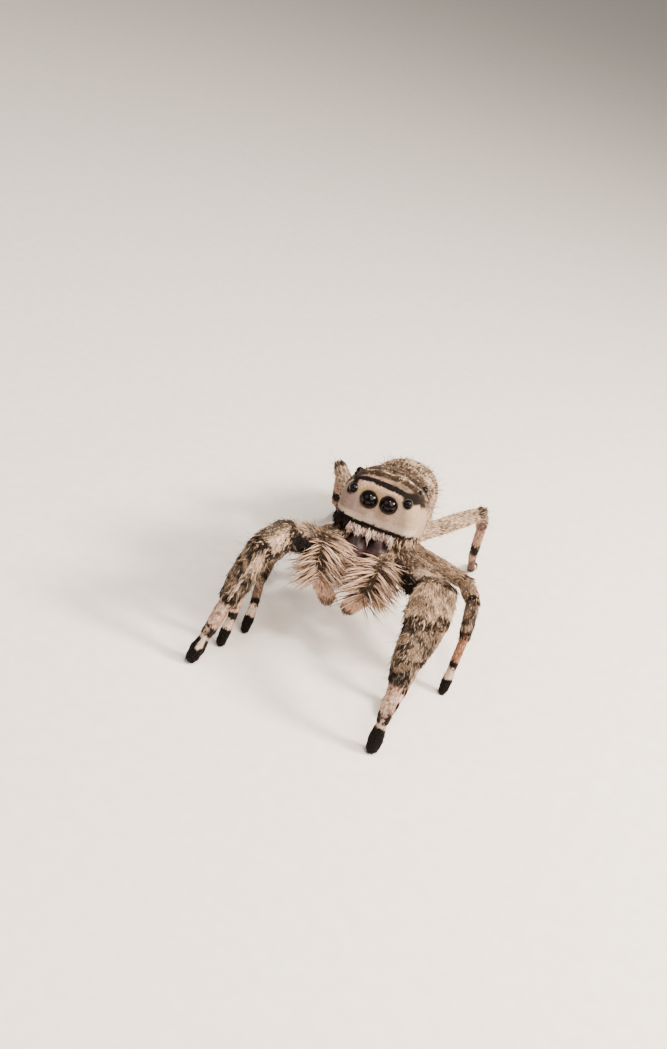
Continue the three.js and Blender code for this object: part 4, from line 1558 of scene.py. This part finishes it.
def add_lights():
    for name, measures in LIGHTS.items():
        add_light(name, *measures)
    world = bpy.data.worlds.new("studio")
    bpy.context.scene.world = world
    world.use_nodes = True
    background = world.node_tree.nodes["Background"]
    background.inputs["Color"].default_value = (*linear(ROOM_COLOUR), 1)
    background.inputs["Strength"].default_value = ROOM_LIGHT


def add_camera():
    back = pointing(CAMERA_TURN, CAMERA_RISE)
    turn, roll = math.radians(CAMERA_TURN), math.radians(CAMERA_ROLL)
    right = Vector((math.cos(turn), math.sin(turn), 0))
    above = back.cross(right)
    eyes = Vector(eye_middle("left_front_middle_eye") + eye_middle("right_front_middle_eye")) / 2
    place = eyes + CAMERA_DISTANCE * back + CAMERA_ASIDE * right + CAMERA_ABOVE * above
    rolled_right = right * math.cos(roll) + above * math.sin(roll)
    rolled_above = above * math.cos(roll) - right * math.sin(roll)
    data = bpy.data.cameras.new("camera")
    data.lens = CAMERA_LENS
    data.clip_start = NEAREST_SEEN * MM
    camera = bpy.data.objects.new("camera", data)
    bpy.context.collection.objects.link(camera)
    turned = Matrix((rolled_right, rolled_above, back)).transposed().to_4x4()
    camera.matrix_world = Matrix.Translation(place * MM) @ turned
    bpy.context.scene.camera = camera


# ---------- Assembly ----------

random = np.random.default_rng(SEED)
MATERIALS = make_materials()
add_camera()
add_lights()
add_floor()

skin_piece, SKIN_TRIANGLES, SKIN = build_skin()
# painted shade: the skin under the coat is darkened
set_colours(skin_piece.data, SKIN_PAINTED_SHADE * markings(SKIN.places, SKIN.owners))
skin_tree = BVHTree.FromPolygons(SKIN.places.tolist(), SKIN_TRIANGLES.tolist())
finish_piece(skin_piece, "grey_coat", MATERIALS["skin"])
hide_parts(*FLESH)

short_coat("face_coat", "white_coat", ["face"], uneven=0.06, strays=0.01)
short_coat("fore_body_coat", "grey_coat", ["crown", "flank"])
short_coat("abdomen_coat", "grey_coat", ["abdomen", "stalk", "taps"])
short_coat("feeler_coat", "white_coat", ["upper", "lower"])
for limb in LIMBS:
    if "leg" in limb:
        short_coat(limb + "_coat", "grey_coat", SEGMENTS[:-1], limb)
short_coat("foot_coat", "dark_coat", ["tarsus"])
long_coat("long_body_hairs", "grey_coat", ["crown", "flank", "abdomen"])
long_coat("long_leg_hairs", "grey_coat", SEGMENTS)
long_coat("long_feeler_hairs", "white_coat", ["upper", "lower"])
feeler_fans()
lip_brush()
chin_tufts()
wispy = ["flank", "abdomen", "femur", "patella", "tibia"]
bristly = ["crown", "abdomen", "femur", "patella", "tibia", "metatarsus"]
single_hairs("wisps", "white_coat", WISPS, wispy, "cream", 0.1)
single_hairs("crown_bristles", "dark_coat", CROWN_BRISTLES, ["crown"], "brown", 0.15)
single_hairs("bristles", "dark_coat", BRISTLES, bristly, "dark", 0.3)

eye_pieces(skin_tree)
for side in SIDES:
    jaw = f"{side}_chelicera"
    smooth_shell(jaw, "cephalothorax", f"{side}_jaw", "jaw_shell", "jaw",
                 JAW_VOXEL, JAW_SMOOTHING, JAW_SWELL)
    smooth_shell(f"{side}_fang", jaw, f"{side}_fang_hook", "fang_shell", "fang",
                 FANG_VOXEL, FANG_SMOOTHING)
